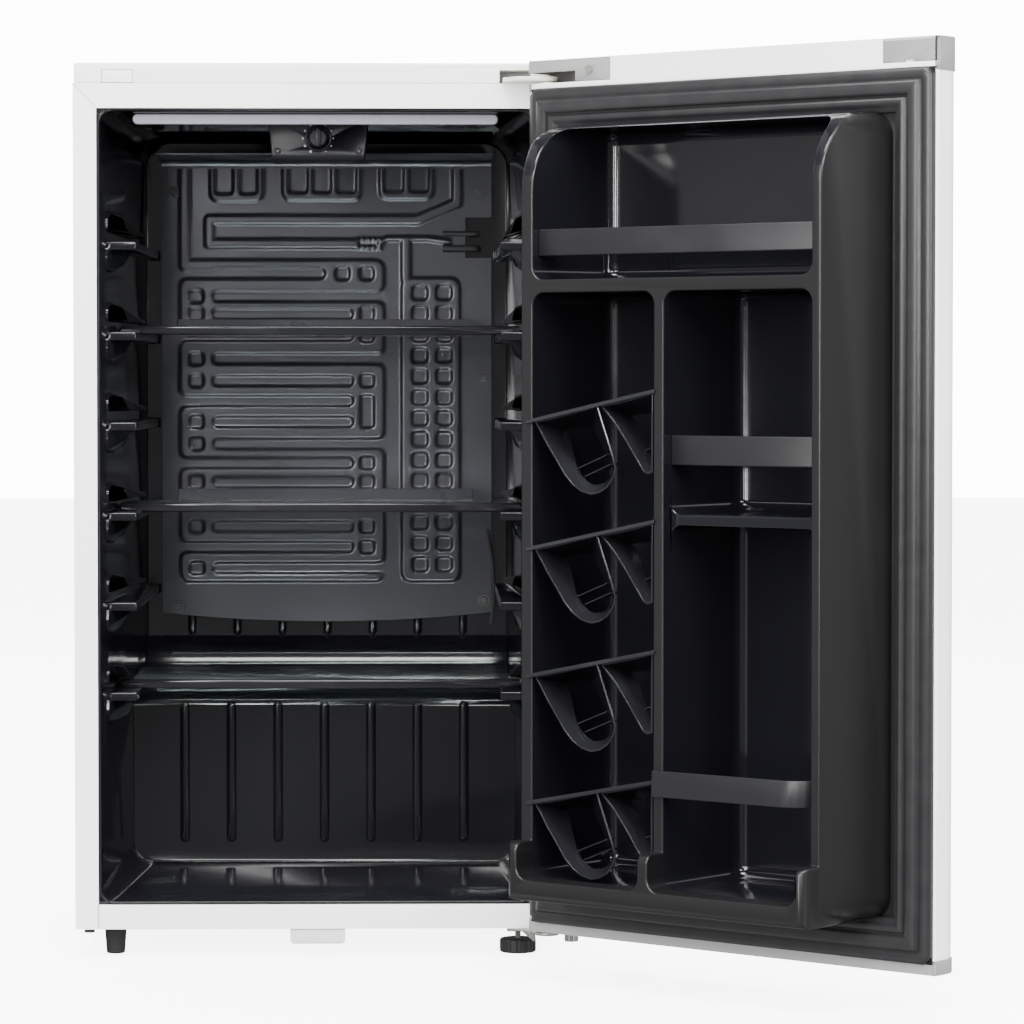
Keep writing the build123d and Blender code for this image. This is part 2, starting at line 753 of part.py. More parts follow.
def make_top_rail():
    """Hollow upper door rail, notched for the hinge leaf and let in for its covers."""
    z = (door_top - top_rail_height, door_top)
    rail = door_plan(0, z)
    rail -= door_plan(rail_wall, (z[0] - 1, z[1] - rail_wall))
    for side in (-1, 1):
        rail -= cap_region(side, 0.1, (z[0] - 1, z[1] + 1))
    rail -= door_block((-1, cover_end + 0.3), (-2.2, 1), (cover_z[0] - 0.3, cover_z[1] + 0.3))
    rail -= door_block((plate_start - 0.3, 450), (-2.2, 1), (cover_z[0] - 0.3, cover_z[1] + 0.3))
    rail -= door_block((0, cabinet_width), (-door_wall - 0.1, 1), (z[0] - 1, gasket_top + 0.1))
    return rail - leaf_notch()


def make_bottom_rail_door():
    """Hollow lower door rail."""
    z = (door_bottom, door_bottom + bottom_rail_height)
    rail = door_plan(0, z) - door_plan(rail_wall, (z[0] + rail_wall, z[1] + 1))
    rail -= cap_region(-1, 0.1, (z[0] - 1, z[1] + 1))
    rail += post(hinge_x, hinge_y, z, bush_radius + 2)
    rail -= gasket_seat
    return rail - post(hinge_x, hinge_y, (z[0] - 1, z[1] + 1), bush_radius)


def make_corner_cap(side, z, closed_end):
    """Grey cap over the end of a door rail."""
    cap = door_plan(0, z)
    hollow = (z[0] + rail_wall, z[1] + 1) if closed_end < 0 else (z[0] - 1, z[1] - rail_wall)
    cap -= door_plan(rail_wall, hollow)
    cap &= cap_region(side, 0, z)
    if closed_end > 0:
        cap -= door_block((-1, 450), (-2.2, 1), (cover_z[0] - 0.3, cover_z[1] + 0.3))
    return cap


def make_top_free_cap():
    """Grey cap over the free end of the top rail, cleared for the liner's flange."""
    cap = make_corner_cap(-1, (door_top - top_rail_height, door_top), 1)
    return cap - door_block((0, cabinet_width), (-door_wall - 0.1, 1), (0, gasket_top + 0.1))


def make_top_hinge_cap():
    """Grey cap over the hinge end of the top rail, with the web that holds the bush."""
    low = door_top - top_rail_height
    cap = make_corner_cap(1, (low, door_top), 1)
    web = block((hinge_x - 14, half - 0.5), (inner - 27, inner - cap_back - 0.5), (low, low + 5))
    cap += web & cap_region(1, 0, (low, door_top))
    cap -= door_block((0, cabinet_width), (-door_wall - 0.1, 1), (low - 1, gasket_top + 0.1))
    return cap - leaf_notch() - post(hinge_x, hinge_y, (low - 1, low + 9), bush_radius)


def make_hinge_cover():
    """Grey cover over the upper hinge, cut away below where the leaf comes out."""
    cover = door_block((0.4, cover_end), (-2.1, 0), cover_z)
    cover -= door_block((-1, 54.7), (-5, 5), (0, notch_z[1]))
    return cover - rod((door_x(71.6), inner - 5, 819), (door_x(71.6), inner + 5, 819), 2.2)


def make_cover_screw():
    """Screw that holds the hinge cover."""
    x = door_x(71.6)
    head = rod((x, inner + 0.1, 819), (x, inner + 1.8, 819), 3.9)
    return head + rod((x, inner - 2, 819), (x, inner + 0.6, 819), 2)


def make_end_plate():
    """Grey plate over the unused hinge notch at the free end of the top rail."""
    plate = door_block((plate_start, 445), (-2.1, 0), (cover_z[0], cover_z[1] - 1))
    return plate - door_block((414, 423), (-3, 1), (0, cover_z[0] + 2))


def dyke(shrink):
    """Outside of the door liner's dyke: drafted at the sides and rounded at its upper front."""
    low, high = inner - door_wall, inner + dyke_reach - shrink
    ends = []
    for y, draft in ((low, 0), (high, dyke_draft)):
        wide = cabinet_width - 2 * (dyke_side + shrink + draft)
        tall = dyke_high - dyke_low - 2 * shrink
        place = Plane((0, y, (dyke_high + dyke_low) / 2), x_dir=(1, 0, 0), z_dir=(0, 1, 0))
        ends.append(place * RectangleRounded(wide, tall, 20))
    body = loft(ends)
    side = block((-half, half), (low - 5, high), (dyke_low + shrink, dyke_high - shrink))
    edges = side.edges().filter_by(Axis.X).group_by(Axis.Y)[-1].sort_by(Axis.Z)
    side = fillet(edges[-1], dyke_round)
    side = fillet(side.edges().filter_by(Axis.X).group_by(Axis.Y)[-1].sort_by(Axis.Z)[0], 8)
    inset = dyke_side + dyke_draft + shrink
    foot_z = (dyke_low + shrink, foot_high - shrink)
    foot = door_block((inset, cabinet_width - inset), (20, foot_reach - shrink), foot_z)
    foot = fillet(foot.edges().group_by(Axis.Y)[-1], 9)
    return (body & side) + foot


pockets = (
    ((pocket_side, pocket_end), (shelf_bar_high, pocket_high)),
    ((pocket_side, divider_left), (pocket_low, shelf_bar_low)),
    ((divider_right, pocket_end), (ledge_high, shelf_bar_low)),
    ((divider_right, pocket_end), (pocket_low, ledge_low)),
)


def pocket_space(grow):
    """All the door's moulded pockets as one tool, their walls moved outwards by grow."""
    space = None
    for u, z in pockets:
        wide, tall = (u[0] - grow, u[1] + grow), (z[0] - grow, z[1] + grow)
        box = door_rounded(wide, (-pocket_recess - grow, 130), tall, pocket_round + grow)
        space = box if space is None else space + box
    wide = (divider_right - grow, pocket_end + grow)
    front_space = door_block(wide, (ledge_out - grow, 130), (pocket_low + 20, 600))
    return space + front_space


def make_door_liner():
    """Vacuum-formed door liner: flange, dyke, divider, cross shelf and pockets."""
    edge = (gasket_side, cabinet_width - gasket_side)
    flange = door_block(edge, (-door_wall, 0), (gasket_bottom, gasket_top))
    behind = door_block((0, cabinet_width), (-60, -door_wall / 2), (0, door_top))
    shell = flange + dyke(0) + (pocket_space(door_wall) & behind)
    shell -= pocket_space(0)
    return shell - (dyke(door_wall) - pocket_space(door_wall))


def make_door_foam():
    """Insulation inside the door skin and the liner's dyke."""
    core = door_plan(skin_inset + skin + 0.05, (skin_z[0], skin_z[1]))
    core -= door_block((-5, cabinet_width + 5), (-door_wall - 0.05, 10), (0, door_top))
    core -= pocket_space(door_wall + 0.02)
    for z in ((door_bottom, 51), (790, door_top)):
        core -= post(hinge_x, hinge_y, z, bush_radius + 0.1)
    return core


def make_dyke_core():
    """Foam fill of the door liner's dyke."""
    core = dyke(door_wall + 0.05) - pocket_space(door_wall + 0.05)
    return core & door_block((0, cabinet_width), (-door_wall + 0.05, foot_reach - 8), (0, door_top))


def make_gasket():
    """Magnetic door seal: a mitred frame with its bellows facing the cabinet."""
    edge = (gasket_side, cabinet_width - gasket_side)
    seal = door_block(edge, (0.05, gasket_thick), (gasket_bottom, gasket_top))
    seal = fillet(seal.edges().filter_by(Axis.Y), 5)
    seal = fillet(seal.faces().sort_by(Axis.Y)[-1].edges(), gasket_round)
    hole = door_block((gasket_side + gasket_width, cabinet_width - gasket_side - gasket_width), (-1, 20),
                      (gasket_bottom + gasket_width, gasket_top - gasket_width))
    seal -= hole
    groove = 5.0
    middle = gasket_side + gasket_width * 0.55
    low = gasket_bottom + gasket_width * 0.55
    high = gasket_top - gasket_width * 0.55
    trough = door_block((middle - groove / 2, cabinet_width - middle + groove / 2), (gasket_thick - 4, 20),
                        (low - groove / 2, high + groove / 2))
    trough -= door_block((middle + groove / 2, cabinet_width - middle - groove / 2), (0, 30),
                         (low + groove / 2, high - groove / 2))
    return seal - trough - dyke(-0.4)


def make_retainer(u, n, z):
    """Pocket retainer bar with a turned-in lip along its upper edge."""
    bar = door_block(u, (n, n + 3), z)
    bar += door_block(u, (n - 7, n + 1), (z[1] - 2, z[1]))
    edges = bar.edges().filter_by(Axis.X).group_by(Axis.Y)[-1]
    return fillet(edges, 1.2)


guard_out = 6.0            # in front of the dyke
guard_n = dyke_reach + guard_out
guard_z = (174.5, 197.5)
guard_thick = 3.0
bar_half = 147.5           # half the length of a shelf's rear bar
guard_start = 213.0
guard_back = 62.0          # where the guard's right-hand return ends, in the pocket's side wall


def make_bottle_guard():
    """Bottle guard: it starts on the divider's front and bends back to the pocket's side wall."""
    end = pocket_end - 0.3
    outside = door_block((guard_start - 50, end), (guard_back, guard_n), guard_z)
    outside = fillet(outside.edges().filter_by(Axis.Z).group_by(Axis.Y)[-1].sort_by(Axis.X)[0], 27)
    inside = door_block((guard_start - 60, end - guard_thick), (0, guard_n - guard_thick), (0, 900))
    inside = fillet(inside.edges().filter_by(Axis.Z).group_by(Axis.Y)[-1].sort_by(Axis.X)[0], 24)
    guard = (outside - inside) & door_block((guard_start, 400), (0, 200), (0, 900))
    return guard + door_block((guard_start, guard_start + 6), (dyke_reach + 0.2, guard_n), guard_z)


rack_pitch = 113.7
rack_count = 4
rack_low = 159.0           # height of the lowest rack's rail at the hinge side
rack_rise = 28.0
rack_start = 68.0
rack_end = 212.7           # stops short of the bottle guard
rack_back = 49.0           # how far out of the door the cradles' backs stand
rack_front = dyke_reach - 0.2
rack_wall = 2.0
first_cradle = ((77, -13), (77, 1.8), (149, 15.8), (169.5, -39), (160, -56), (141, -64), (120, -56))
first_hollow = ((79, -12), (79, 0), (147.5, 12.5), (167, -39), (158.5, -54), (141, -61.6), (121.5, -54.5))
first_window = ((84, -12), (117, -6), (154, -45), (140, -56), (119, -50))
second_cradle = ((151.5, 11), (151.5, 16.4), (209.6, 27.6), (209.6, -44), (199, -43))
second_hollow = ((155, 10.5), (155, 13.5), (207.6, 24), (207.6, -42), (200, -41))
second_window = ((161, 6), (204, 12), (204, -38), (197, -36))


def rack_prism(points, base_z, n):
    """A cradle outline, given from the rail's lower end, extruded outwards."""
    return across([(door_x(u), base_z + z) for u, z in points], (inner + n[0], inner + n[1]))


def make_can_rack(index):
    """Can rack: a sloping rail over two slanting cradles that are open in front."""
    z = rack_low + index * rack_pitch
    rack = rack_prism(first_cradle, z, (rack_back, rack_front))
    rack += rack_prism(second_cradle, z, (rack_back, rack_front))
    for hollow in (first_hollow, second_hollow):
        rack -= rack_prism(hollow, z, (rack_back + rack_wall, rack_front + 1))
    for window in (first_window, second_window):
        rack -= rack_prism(window, z, (rack_back - 1, rack_front))
    rail = ((rack_start, -1.8), (rack_start, 1.8), (rack_end, 1.8 + rack_rise), (rack_end, rack_rise - 1.8))
    rack += rack_prism(rail, z, (dyke_reach + 0.2, dyke_reach + 2.6))
    joint = ((77, -1), (77, 2.2), (209.6, 28.2), (209.6, 25))
    return rack + rack_prism(joint, z, (rack_front - 4, dyke_reach + 1))


def make_bush(z):
    """Hinge bush that turns on its pin."""
    bush = post(hinge_x, hinge_y, z, bush_radius - 0.05)
    return bush - post(hinge_x, hinge_y, (z[0] - 1, z[1] + 1), pin_radius + pin_clearance)


def make_stop_stud():
    """Bright stop stud under the door, beside the lower hinge."""
    stud = post(door_x(40), inner - 14, (21.5, door_bottom), 6.4)
    return fillet(stud.edges().filter_by(GeomType.CIRCLE).sort_by(Axis.Z)[0], 0.8)


# ================================================================ assembly
parts["outer_wrapper"] = make_wrapper()
parts["bottom_rail"] = make_bottom_rail()
parts["worktop"] = make_worktop()
parts["hinge_recess_plug"] = make_recess_plug()
parts["base_pan"] = make_base_pan()
parts["compressor_bay_panel"] = make_bay_panel()
parts["back_panel"] = make_back_panel()
parts["inner_liner"] = make_liner()
parts["insulation_foam"] = make_foam()
parts["evaporator_plate"] = make_evaporator()
parts["evaporator_screws"] = make_evaporator_screws()
parts["evaporator_tubes"] = make_evaporator_tubes()
parts["compressor"] = make_compressor()
parts["compressor_grommets"] = make_grommets()
parts["start_relay_box"] = make_relay_box()
parts["drip_tray"] = make_drip_tray()
parts["drain_hose"] = make_drain_hose()
parts["refrigerant_lines"] = make_refrigerant_lines() + [condenser_tube(0)]
parts["cord_gland"] = make_cord_gland()
parts["left_front_foot"] = make_tapered_foot(-foot_x - 3.5, foot_y)
parts["rear_feet"] = [make_tapered_foot(side * 190, back - 40) for side in (-1, 1)]
parts["levelling_stud"] = make_levelling_stud()
parts["levelling_knob"] = make_levelling_knob()
parts["lower_tab"] = make_lower_tab()
parts["lower_corner_plug"] = make_corner_plug()
parts["top_hinge_leaf"] = make_top_hinge()
parts["top_hinge_screws"] = make_hinge_screws()
parts["bottom_hinge_bracket"] = make_bottom_hinge()
parts["hinge_spacer"] = make_hinge_spacer()
parts["thermostat_housing"] = make_housing()
parts["thermostat_switch"] = make_thermostat()
parts["thermostat_dial"] = make_dial()
parts["ceiling_bar"] = make_ceiling_bar()
for shelf_name, shelf_level in shelf_levels.items():
    make_shelf(shelf_name, shelf_level)

lower_cap_z = (door_bottom, door_bottom + bottom_rail_height)
door = {
    "door_skin": make_skin(),
    "door_top_rail": make_top_rail(),
    "door_bottom_rail": make_bottom_rail_door(),
    "top_free_cap": [make_top_free_cap(), make_end_plate()],
    "top_hinge_cap": [make_top_hinge_cap(), make_hinge_cover()],
    "bottom_free_cap": make_corner_cap(-1, lower_cap_z, -1) - gasket_seat,
    "hinge_cover_screw": make_cover_screw(),
    "door_liner": make_door_liner(),
    "door_foam": [make_door_foam(), make_dyke_core()],
    "door_gasket": make_gasket(),
    "top_retainer_bar": make_retainer((pocket_side + 0.2, pocket_end - 0.2), 73, (648, 672)),
    "middle_retainer_bar": make_retainer((divider_right + 0.2, pocket_end - 0.2), 71, (463.5, 489.5)),
    "bottle_guard": make_bottle_guard(),
    "hinge_bushes": [make_bush((790.5, 810.5)), make_bush((door_bottom, 50))],
    "door_stop_stud": make_stop_stud(),
}
for number in range(rack_count):
    door[f"can_rack_{number + 1}"] = make_can_rack(number)

for name, shape in door.items():
    pieces = shape if isinstance(shape, list) else [shape]
    pieces = [piece.rotate(hinge_axis, open_angle) for piece in pieces]
    parts[name] = pieces if isinstance(shape, list) else pieces[0]

os.makedirs("parts", exist_ok=True)
for name, shape in parts.items():
    export_step(Compound(shape) if isinstance(shape, list) else shape, f"parts/{name}.step")
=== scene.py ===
import json
import math

import bmesh
import bpy
import numpy as np
from mathutils import Euler, Matrix, Vector

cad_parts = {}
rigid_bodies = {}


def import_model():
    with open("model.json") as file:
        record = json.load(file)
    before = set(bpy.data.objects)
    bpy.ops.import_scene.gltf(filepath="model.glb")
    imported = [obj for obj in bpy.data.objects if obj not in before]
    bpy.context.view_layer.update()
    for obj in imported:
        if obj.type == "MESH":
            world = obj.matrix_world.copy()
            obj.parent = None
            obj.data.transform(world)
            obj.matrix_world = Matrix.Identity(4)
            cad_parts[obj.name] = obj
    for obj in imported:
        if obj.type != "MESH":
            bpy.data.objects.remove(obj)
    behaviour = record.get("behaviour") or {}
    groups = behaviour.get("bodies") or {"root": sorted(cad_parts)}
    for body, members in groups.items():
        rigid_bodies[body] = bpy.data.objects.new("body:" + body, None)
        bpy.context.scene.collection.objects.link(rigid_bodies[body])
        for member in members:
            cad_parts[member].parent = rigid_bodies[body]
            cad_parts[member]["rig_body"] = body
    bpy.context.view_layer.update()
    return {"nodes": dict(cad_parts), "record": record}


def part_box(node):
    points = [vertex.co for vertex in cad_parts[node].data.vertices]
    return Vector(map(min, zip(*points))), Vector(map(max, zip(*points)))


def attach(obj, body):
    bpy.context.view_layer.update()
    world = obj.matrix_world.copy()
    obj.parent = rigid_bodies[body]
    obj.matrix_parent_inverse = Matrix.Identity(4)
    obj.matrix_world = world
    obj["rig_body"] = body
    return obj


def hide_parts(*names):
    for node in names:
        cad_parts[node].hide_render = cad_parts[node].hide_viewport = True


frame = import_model()

bl_info = {
    "name": "Mini Fridge Builder",
    "version": (1, 0, 0),
    "blender": (4, 5, 0),
    "location": "3D View > Sidebar > Fridge",
    "description": "Builds the looks of a compact refrigerator on its packed frame",
    "category": "Add Mesh",
}

nodes = frame["nodes"]
MM = 0.001

# Places on the cabinet and the door, in millimetres, as the frame has them.
CABINET_HALF = 224.5
CABINET_FRONT = -222.5
HINGE = Vector((212.5, -245.5))
OPEN_ANGLE = math.radians(139.3)
DOOR_PLANE = -232.5
DIAL_HEIGHT = 764


# ------------------------------------------------------------------ shader maths
class Sock:
    """A shader socket that adds Math nodes when Python operators meet it."""

    def __init__(self, tree, socket):
        self.tree = tree
        self.socket = socket

    def _math(self, operation, a, b, clamp=False):
        node = self.tree.nodes.new("ShaderNodeMath")
        node.operation = operation
        node.use_clamp = clamp
        for place, value in enumerate((a, b)):
            if isinstance(value, Sock):
                self.tree.links.new(value.socket, node.inputs[place])
            else:
                node.inputs[place].default_value = value
        return Sock(self.tree, node.outputs[0])

    def __add__(self, other):
        return self._math("ADD", self, other)

    __radd__ = __add__

    def __sub__(self, other):
        return self._math("SUBTRACT", self, other)

    def __rsub__(self, other):
        return self._math("SUBTRACT", other, self)

    def __mul__(self, other):
        return self._math("MULTIPLY", self, other)

    __rmul__ = __mul__

    def clamp(self):
        return self._math("ADD", self, 0.0, clamp=True)

    def fade(self, low, high):
        """0 below low, 1 above high and smooth in between."""
        node = self.tree.nodes.new("ShaderNodeMapRange")
        node.interpolation_type = "SMOOTHSTEP"
        self.tree.links.new(self.socket, node.inputs["Value"])
        node.inputs["From Min"].default_value = low
        node.inputs["From Max"].default_value = high
        return Sock(self.tree, node.outputs["Result"])


def add_node(tree, kind, settings=None, **values):
    """A node of this kind with its settings made first, then its sockets' values or links."""
    node = tree.nodes.new(kind)
    for name, value in (settings or {}).items():
        if name == "stops":
            ramp = node.color_ramp.elements
            while len(ramp) < len(value):
                ramp.new(0.5)
            for element, (place, color) in zip(ramp, value):
                element.position = place
                element.color = color
        else:
            setattr(node, name, value)
    for name, value in values.items():
        socket = node.inputs[name.replace("_", " ")]
        if isinstance(value, Sock):
            tree.links.new(value.socket, socket)
        else:
            socket.default_value = value
    return node


paints = {}


class Paint:
    """One material, kept by name: a Principled shader and the nodes that vary its inputs."""

    def __init__(self, name, color, roughness, **constants):
        self.material = bpy.data.materials.new(name)
        self.material.use_nodes = True
        self.material.diffuse_color = (*color, 1)
        self.tree = self.material.node_tree
        self.shader = self.tree.nodes["Principled BSDF"]
        self.shader.inputs["Base Color"].default_value = (*color, 1)
        self.shader.inputs["Roughness"].default_value = roughness
        for socket, value in constants.items():
            self.shader.inputs[socket.replace("_", " ")].default_value = value
        self.color = color
        self.roughness = roughness
        paints[name] = self

    def node(self, kind, settings=None, **values):
        return add_node(self.tree, kind, settings, **values)

    def out(self, node, name=0):
        return Sock(self.tree, node.outputs[name])

    def place(self):
        """Object coordinates, in metres."""
        return self.out(self.node("ShaderNodeTexCoord"), "Object")

    def noise(self, scale, detail, rough=0.5):
        made = self.node("ShaderNodeTexNoise", Vector=self.place(), Scale=scale, Detail=detail, Roughness=rough)
        return self.out(made, "Fac")

    def cells(self, scale):
        made = self.node("ShaderNodeTexVoronoi", Vector=self.place(), Scale=scale)
        return self.out(made, "Distance")

    def mix(self, mask, first, second):
        """A colour that goes from first to second with the mask."""
        made = self.node("ShaderNodeMix", {"data_type": "RGBA"})
        self.tree.links.new(mask.socket, made.inputs[0])
        for place, color in ((6, first), (7, second)):
            if isinstance(color, Sock):
                self.tree.links.new(color.socket, made.inputs[place])
            else:
                made.inputs[place].default_value = (*color, 1)
        return Sock(self.tree, made.outputs[2])

    def feed(self, socket, value):
        self.tree.links.new(value.socket, self.shader.inputs[socket])
        return self

    def bump(self, height, strength=0.3, distance=0.0005):
        made = self.node("ShaderNodeBump", Height=height, Strength=strength, Distance=distance)
        self.tree.links.new(made.outputs["Normal"], self.shader.inputs["Normal"])
        return self

    def dust(self, mask, color, share=0.15, rougher=0.1):
        """Tints towards a colour and roughens where the mask is high."""
        self.feed("Base Color", self.mix((mask * share).clamp(), self.color, color))
        self.feed("Roughness", (mask * rougher + self.roughness).clamp())
        return self


def make_paints(look):
    """All the finishes."""
    white = Paint("white_enamel", look.enamel_color, 0.22, Coat_Weight=0.35, Coat_Roughness=0.06)
    wide = white.noise(2.2, 2)
    white.dust(wide, (0.80, 0.79, 0.76), 0.25, 0.06)
    peel = white.noise(520, 2) + white.cells(300) * 0.35
    white.bump(peel, 0.05, 0.0004)

    cap = Paint("white_plastic", look.plastic_color, 0.30, Specular_IOR_Level=0.5)
    cap.dust(cap.noise(3.1, 3), (0.78, 0.77, 0.74), 0.3, 0.1)
    cap.bump(cap.noise(900, 2), 0.06, 0.0003)

    grey = Paint("grey_plastic", (0.19, 0.186, 0.182), 0.38)
    grey.dust(grey.noise(26, 3), (0.24, 0.235, 0.225), 0.5, 0.12)
    grey.bump(grey.cells(1500), 0.12, 0.0002)

    liner = Paint("black_liner", look.liner_color, 0.11, Specular_IOR_Level=0.62)
    smear = liner.noise(5.5, 4, 0.6)
    liner.dust(smear.fade(0.5, 0.85), (0.014, 0.014, 0.018), 0.6, 0.09)
    liner.bump(liner.noise(26, 1) + liner.noise(260, 2) * 0.05, 0.06, 0.0016)

    # The door's liner is glossy in its pockets and has a fine satin grain on its ridges.
    ridged = Paint("door_liner_black", look.liner_color, 0.12, Specular_IOR_Level=0.62)
    shut = Matrix.Rotation(-OPEN_ANGLE, 3, "Z")
    pin = Vector((HINGE.x * MM, HINGE.y * MM, 0))
    turn_back = ridged.node("ShaderNodeMapping", Vector=ridged.place(), Location=pin - shut @ pin,
                            Rotation=(0, 0, -OPEN_ANGLE))
    split = ridged.node("ShaderNodeSeparateXYZ", Vector=ridged.out(turn_back, "Vector"))
    outward = ridged.out(split, "Y") - DOOR_PLANE * MM
    along = ridged.out(split, "X") * -1 + CABINET_HALF * MM
    satin = (outward.fade(0.0825, 0.0838) + along.fade(0.3868, 0.3888)).clamp()
    ridged.feed("Base Color", ridged.mix(satin, look.liner_color, (0.005, 0.005, 0.0055)))
    ridged.feed("Roughness", (satin * 0.24 + ridged.noise(8, 3).fade(0.5, 0.85) * 0.08 + 0.11).clamp())
    ridged.bump(ridged.noise(26, 1) + ridged.cells(1400) * 0.08, 0.06, 0.0016)

    matt = Paint("bar_satin", (0.008, 0.008, 0.009), 0.40, Specular_IOR_Level=0.6)
    matt.dust(matt.noise(14, 3).fade(0.4, 0.8), (0.014, 0.014, 0.016), 0.6, 0.08)
    matt.bump(matt.noise(300, 2), 0.05, 0.0004)

    smoke = Paint("smoke_bar", (0.052, 0.052, 0.060), 0.24, Specular_IOR_Level=0.6)
    smoke.dust(smoke.noise(9, 2), (0.065, 0.065, 0.072), 0.4, 0.08)
    smoke.bump(smoke.noise(300, 2), 0.06, 0.0004)

    trim = Paint("black_trim", (0.010, 0.010, 0.012), 0.13, Specular_IOR_Level=0.6)
    trim.dust(trim.noise(18, 3).fade(0.5, 0.8), (0.02, 0.02, 0.024), 0.6, 0.09)
    trim.bump(trim.noise(120, 2), 0.06, 0.0008)

    seal = Paint("gasket_rubber", look.gasket_color, 0.30, Specular_IOR_Level=0.6)
    seal.dust(seal.noise(60, 4), (0.03, 0.03, 0.03), 0.35, 0.15)
    seal.bump(seal.cells(2200), 0.10, 0.0002)

    plate = Paint("evaporator_coat", look.plate_color, 0.25, Metallic=0.75)
    plate.dust(plate.noise(9, 4), (0.085, 0.085, 0.095), 0.4, 0.12)
    plate.bump(plate.noise(95, 3) + plate.cells(420) * 0.25, 0.08, 0.0008)

    screw = Paint("screw_black", (0.05, 0.05, 0.052), 0.32, Metallic=0.8)
    screw.dust(screw.noise(700, 3), (0.22, 0.22, 0.22), 0.4, 0.2)
    screw.bump(screw.noise(1800, 2), 0.15, 0.0002)

    sleeve = Paint("sleeve_black", (0.015, 0.015, 0.016), 0.5)
    sleeve.dust(sleeve.noise(200, 3), (0.05, 0.05, 0.05), 0.5, 0.2)
    sleeve.bump(sleeve.noise(900, 2), 0.15, 0.0004)

    glass = Paint("glass", (0.80, 0.90, 0.88), 0.03, Transmission_Weight=0.96, IOR=1.5)
    smudge = glass.noise(14, 4, 0.6).fade(0.5, 0.85)
    glass.feed("Roughness", smudge * 0.10 + 0.02)

    housing = Paint("housing_dark", (0.006, 0.006, 0.008), 0.34, Specular_IOR_Level=0.36)
    housing.dust(housing.noise(40, 3), (0.012, 0.012, 0.015), 0.5, 0.10)
    housing.bump(housing.cells(1300), 0.14, 0.0003)

    bar = Paint("bar_lavender", (0.26, 0.25, 0.30), 0.22, Coat_Weight=0.3, Coat_Roughness=0.1)
    bar.dust(bar.noise(12, 3), (0.20, 0.19, 0.235), 0.4, 0.1)
    bar.bump(bar.noise(200, 2), 0.05, 0.0004)

    zinc = Paint("zinc_steel", (0.58, 0.57, 0.54), 0.34, Metallic=0.95)
    spangle = zinc.cells(160)
    zinc.dust(spangle.fade(0.1, 0.7), (0.42, 0.41, 0.38), 0.5, 0.2)
    zinc.bump(zinc.noise(900, 3), 0.12, 0.0003)

    cream = Paint("hinge_cream", (0.72, 0.70, 0.62), 0.36, Metallic=0.25)
    cream.dust(cream.noise(60, 4), (0.50, 0.48, 0.40), 0.4, 0.15)
    cream.bump(cream.noise(900, 3), 0.12, 0.0003)

    chrome = Paint("chrome", (0.78, 0.78, 0.80), 0.10, Metallic=1.0)
    chrome.feed("Roughness", chrome.noise(300, 3) * 0.16 + 0.04)
    chrome.bump(chrome.noise(1500, 2), 0.05, 0.0002)

    foot = Paint("foot_black", (0.006, 0.006, 0.006), 0.42)
    foot.dust(foot.noise(50, 4), (0.020, 0.019, 0.018), 0.5, 0.2)
    foot.bump(foot.cells(1600), 0.18, 0.0003)

    tab = Paint("clear_tab", (0.60, 0.61, 0.63), 0.35, Transmission_Weight=0.5, IOR=1.45)
    tab.feed("Roughness", tab.noise(120, 3) * 0.3 + 0.2)
    tab.bump(tab.noise(500, 2), 0.1, 0.0003)

    galvanised = Paint("galvanised", (0.50, 0.51, 0.53), 0.42, Metallic=0.9)
    flakes = galvanised.cells(70)
    galvanised.dust(flakes.fade(0.1, 0.9), (0.36, 0.37, 0.40), 0.7, 0.2)
    galvanised.bump(galvanised.noise(600, 3), 0.10, 0.0004)

    foam = Paint("foam", (0.80, 0.68, 0.42), 0.85)
    foam.dust(foam.noise(40, 4), (0.70, 0.56, 0.30), 0.6, 0.1)
    foam.bump(foam.cells(500), 0.5, 0.0008)

    shell = Paint("compressor_black", (0.012, 0.012, 0.013), 0.28, Coat_Weight=0.4, Coat_Roughness=0.12)
    shell.dust(shell.noise(16, 4), (0.05, 0.048, 0.044), 0.5, 0.25)
    shell.bump(shell.noise(170, 3), 0.14, 0.0006)

    copper = Paint("copper", (0.62, 0.28, 0.15), 0.30, Metallic=1.0)
    copper.dust(copper.noise(60, 4).fade(0.4, 0.8), (0.30, 0.13, 0.07), 0.7, 0.25)
    copper.bump(copper.noise(700, 2), 0.1, 0.0003)

    rubber = Paint("mount_rubber", (0.02, 0.02, 0.02), 0.7)
    rubber.dust(rubber.noise(120, 3), (0.06, 0.058, 0.055), 0.5, 0.15)
    rubber.bump(rubber.cells(1200), 0.2, 0.0004)

    drain = Paint("drain_grey", (0.28, 0.28, 0.29), 0.6)
    drain.dust(drain.noise(90, 3), (0.16, 0.16, 0.16), 0.5, 0.15)
    drain.bump(drain.noise(600, 3), 0.2, 0.0005)

    floor = Paint("pale_floor", (0.88, 0.88, 0.88), 0.55, Emission_Color=(1, 1, 1, 1), Emission_Strength=6.0)
    floor.feed("Roughness", floor.noise(8, 3) * 0.1 + 0.5)


# ------------------------------------------------------------------ settings
def shade(name, description, default):
    return bpy.props.FloatVectorProperty(
        name=name, description=description, default=default, subtype="COLOR", size=3, min=0, max=1)


def length(name, description, default):
    return bpy.props.FloatProperty(
        name=name, description=description, default=default, min=0, unit="LENGTH", subtype="DISTANCE")


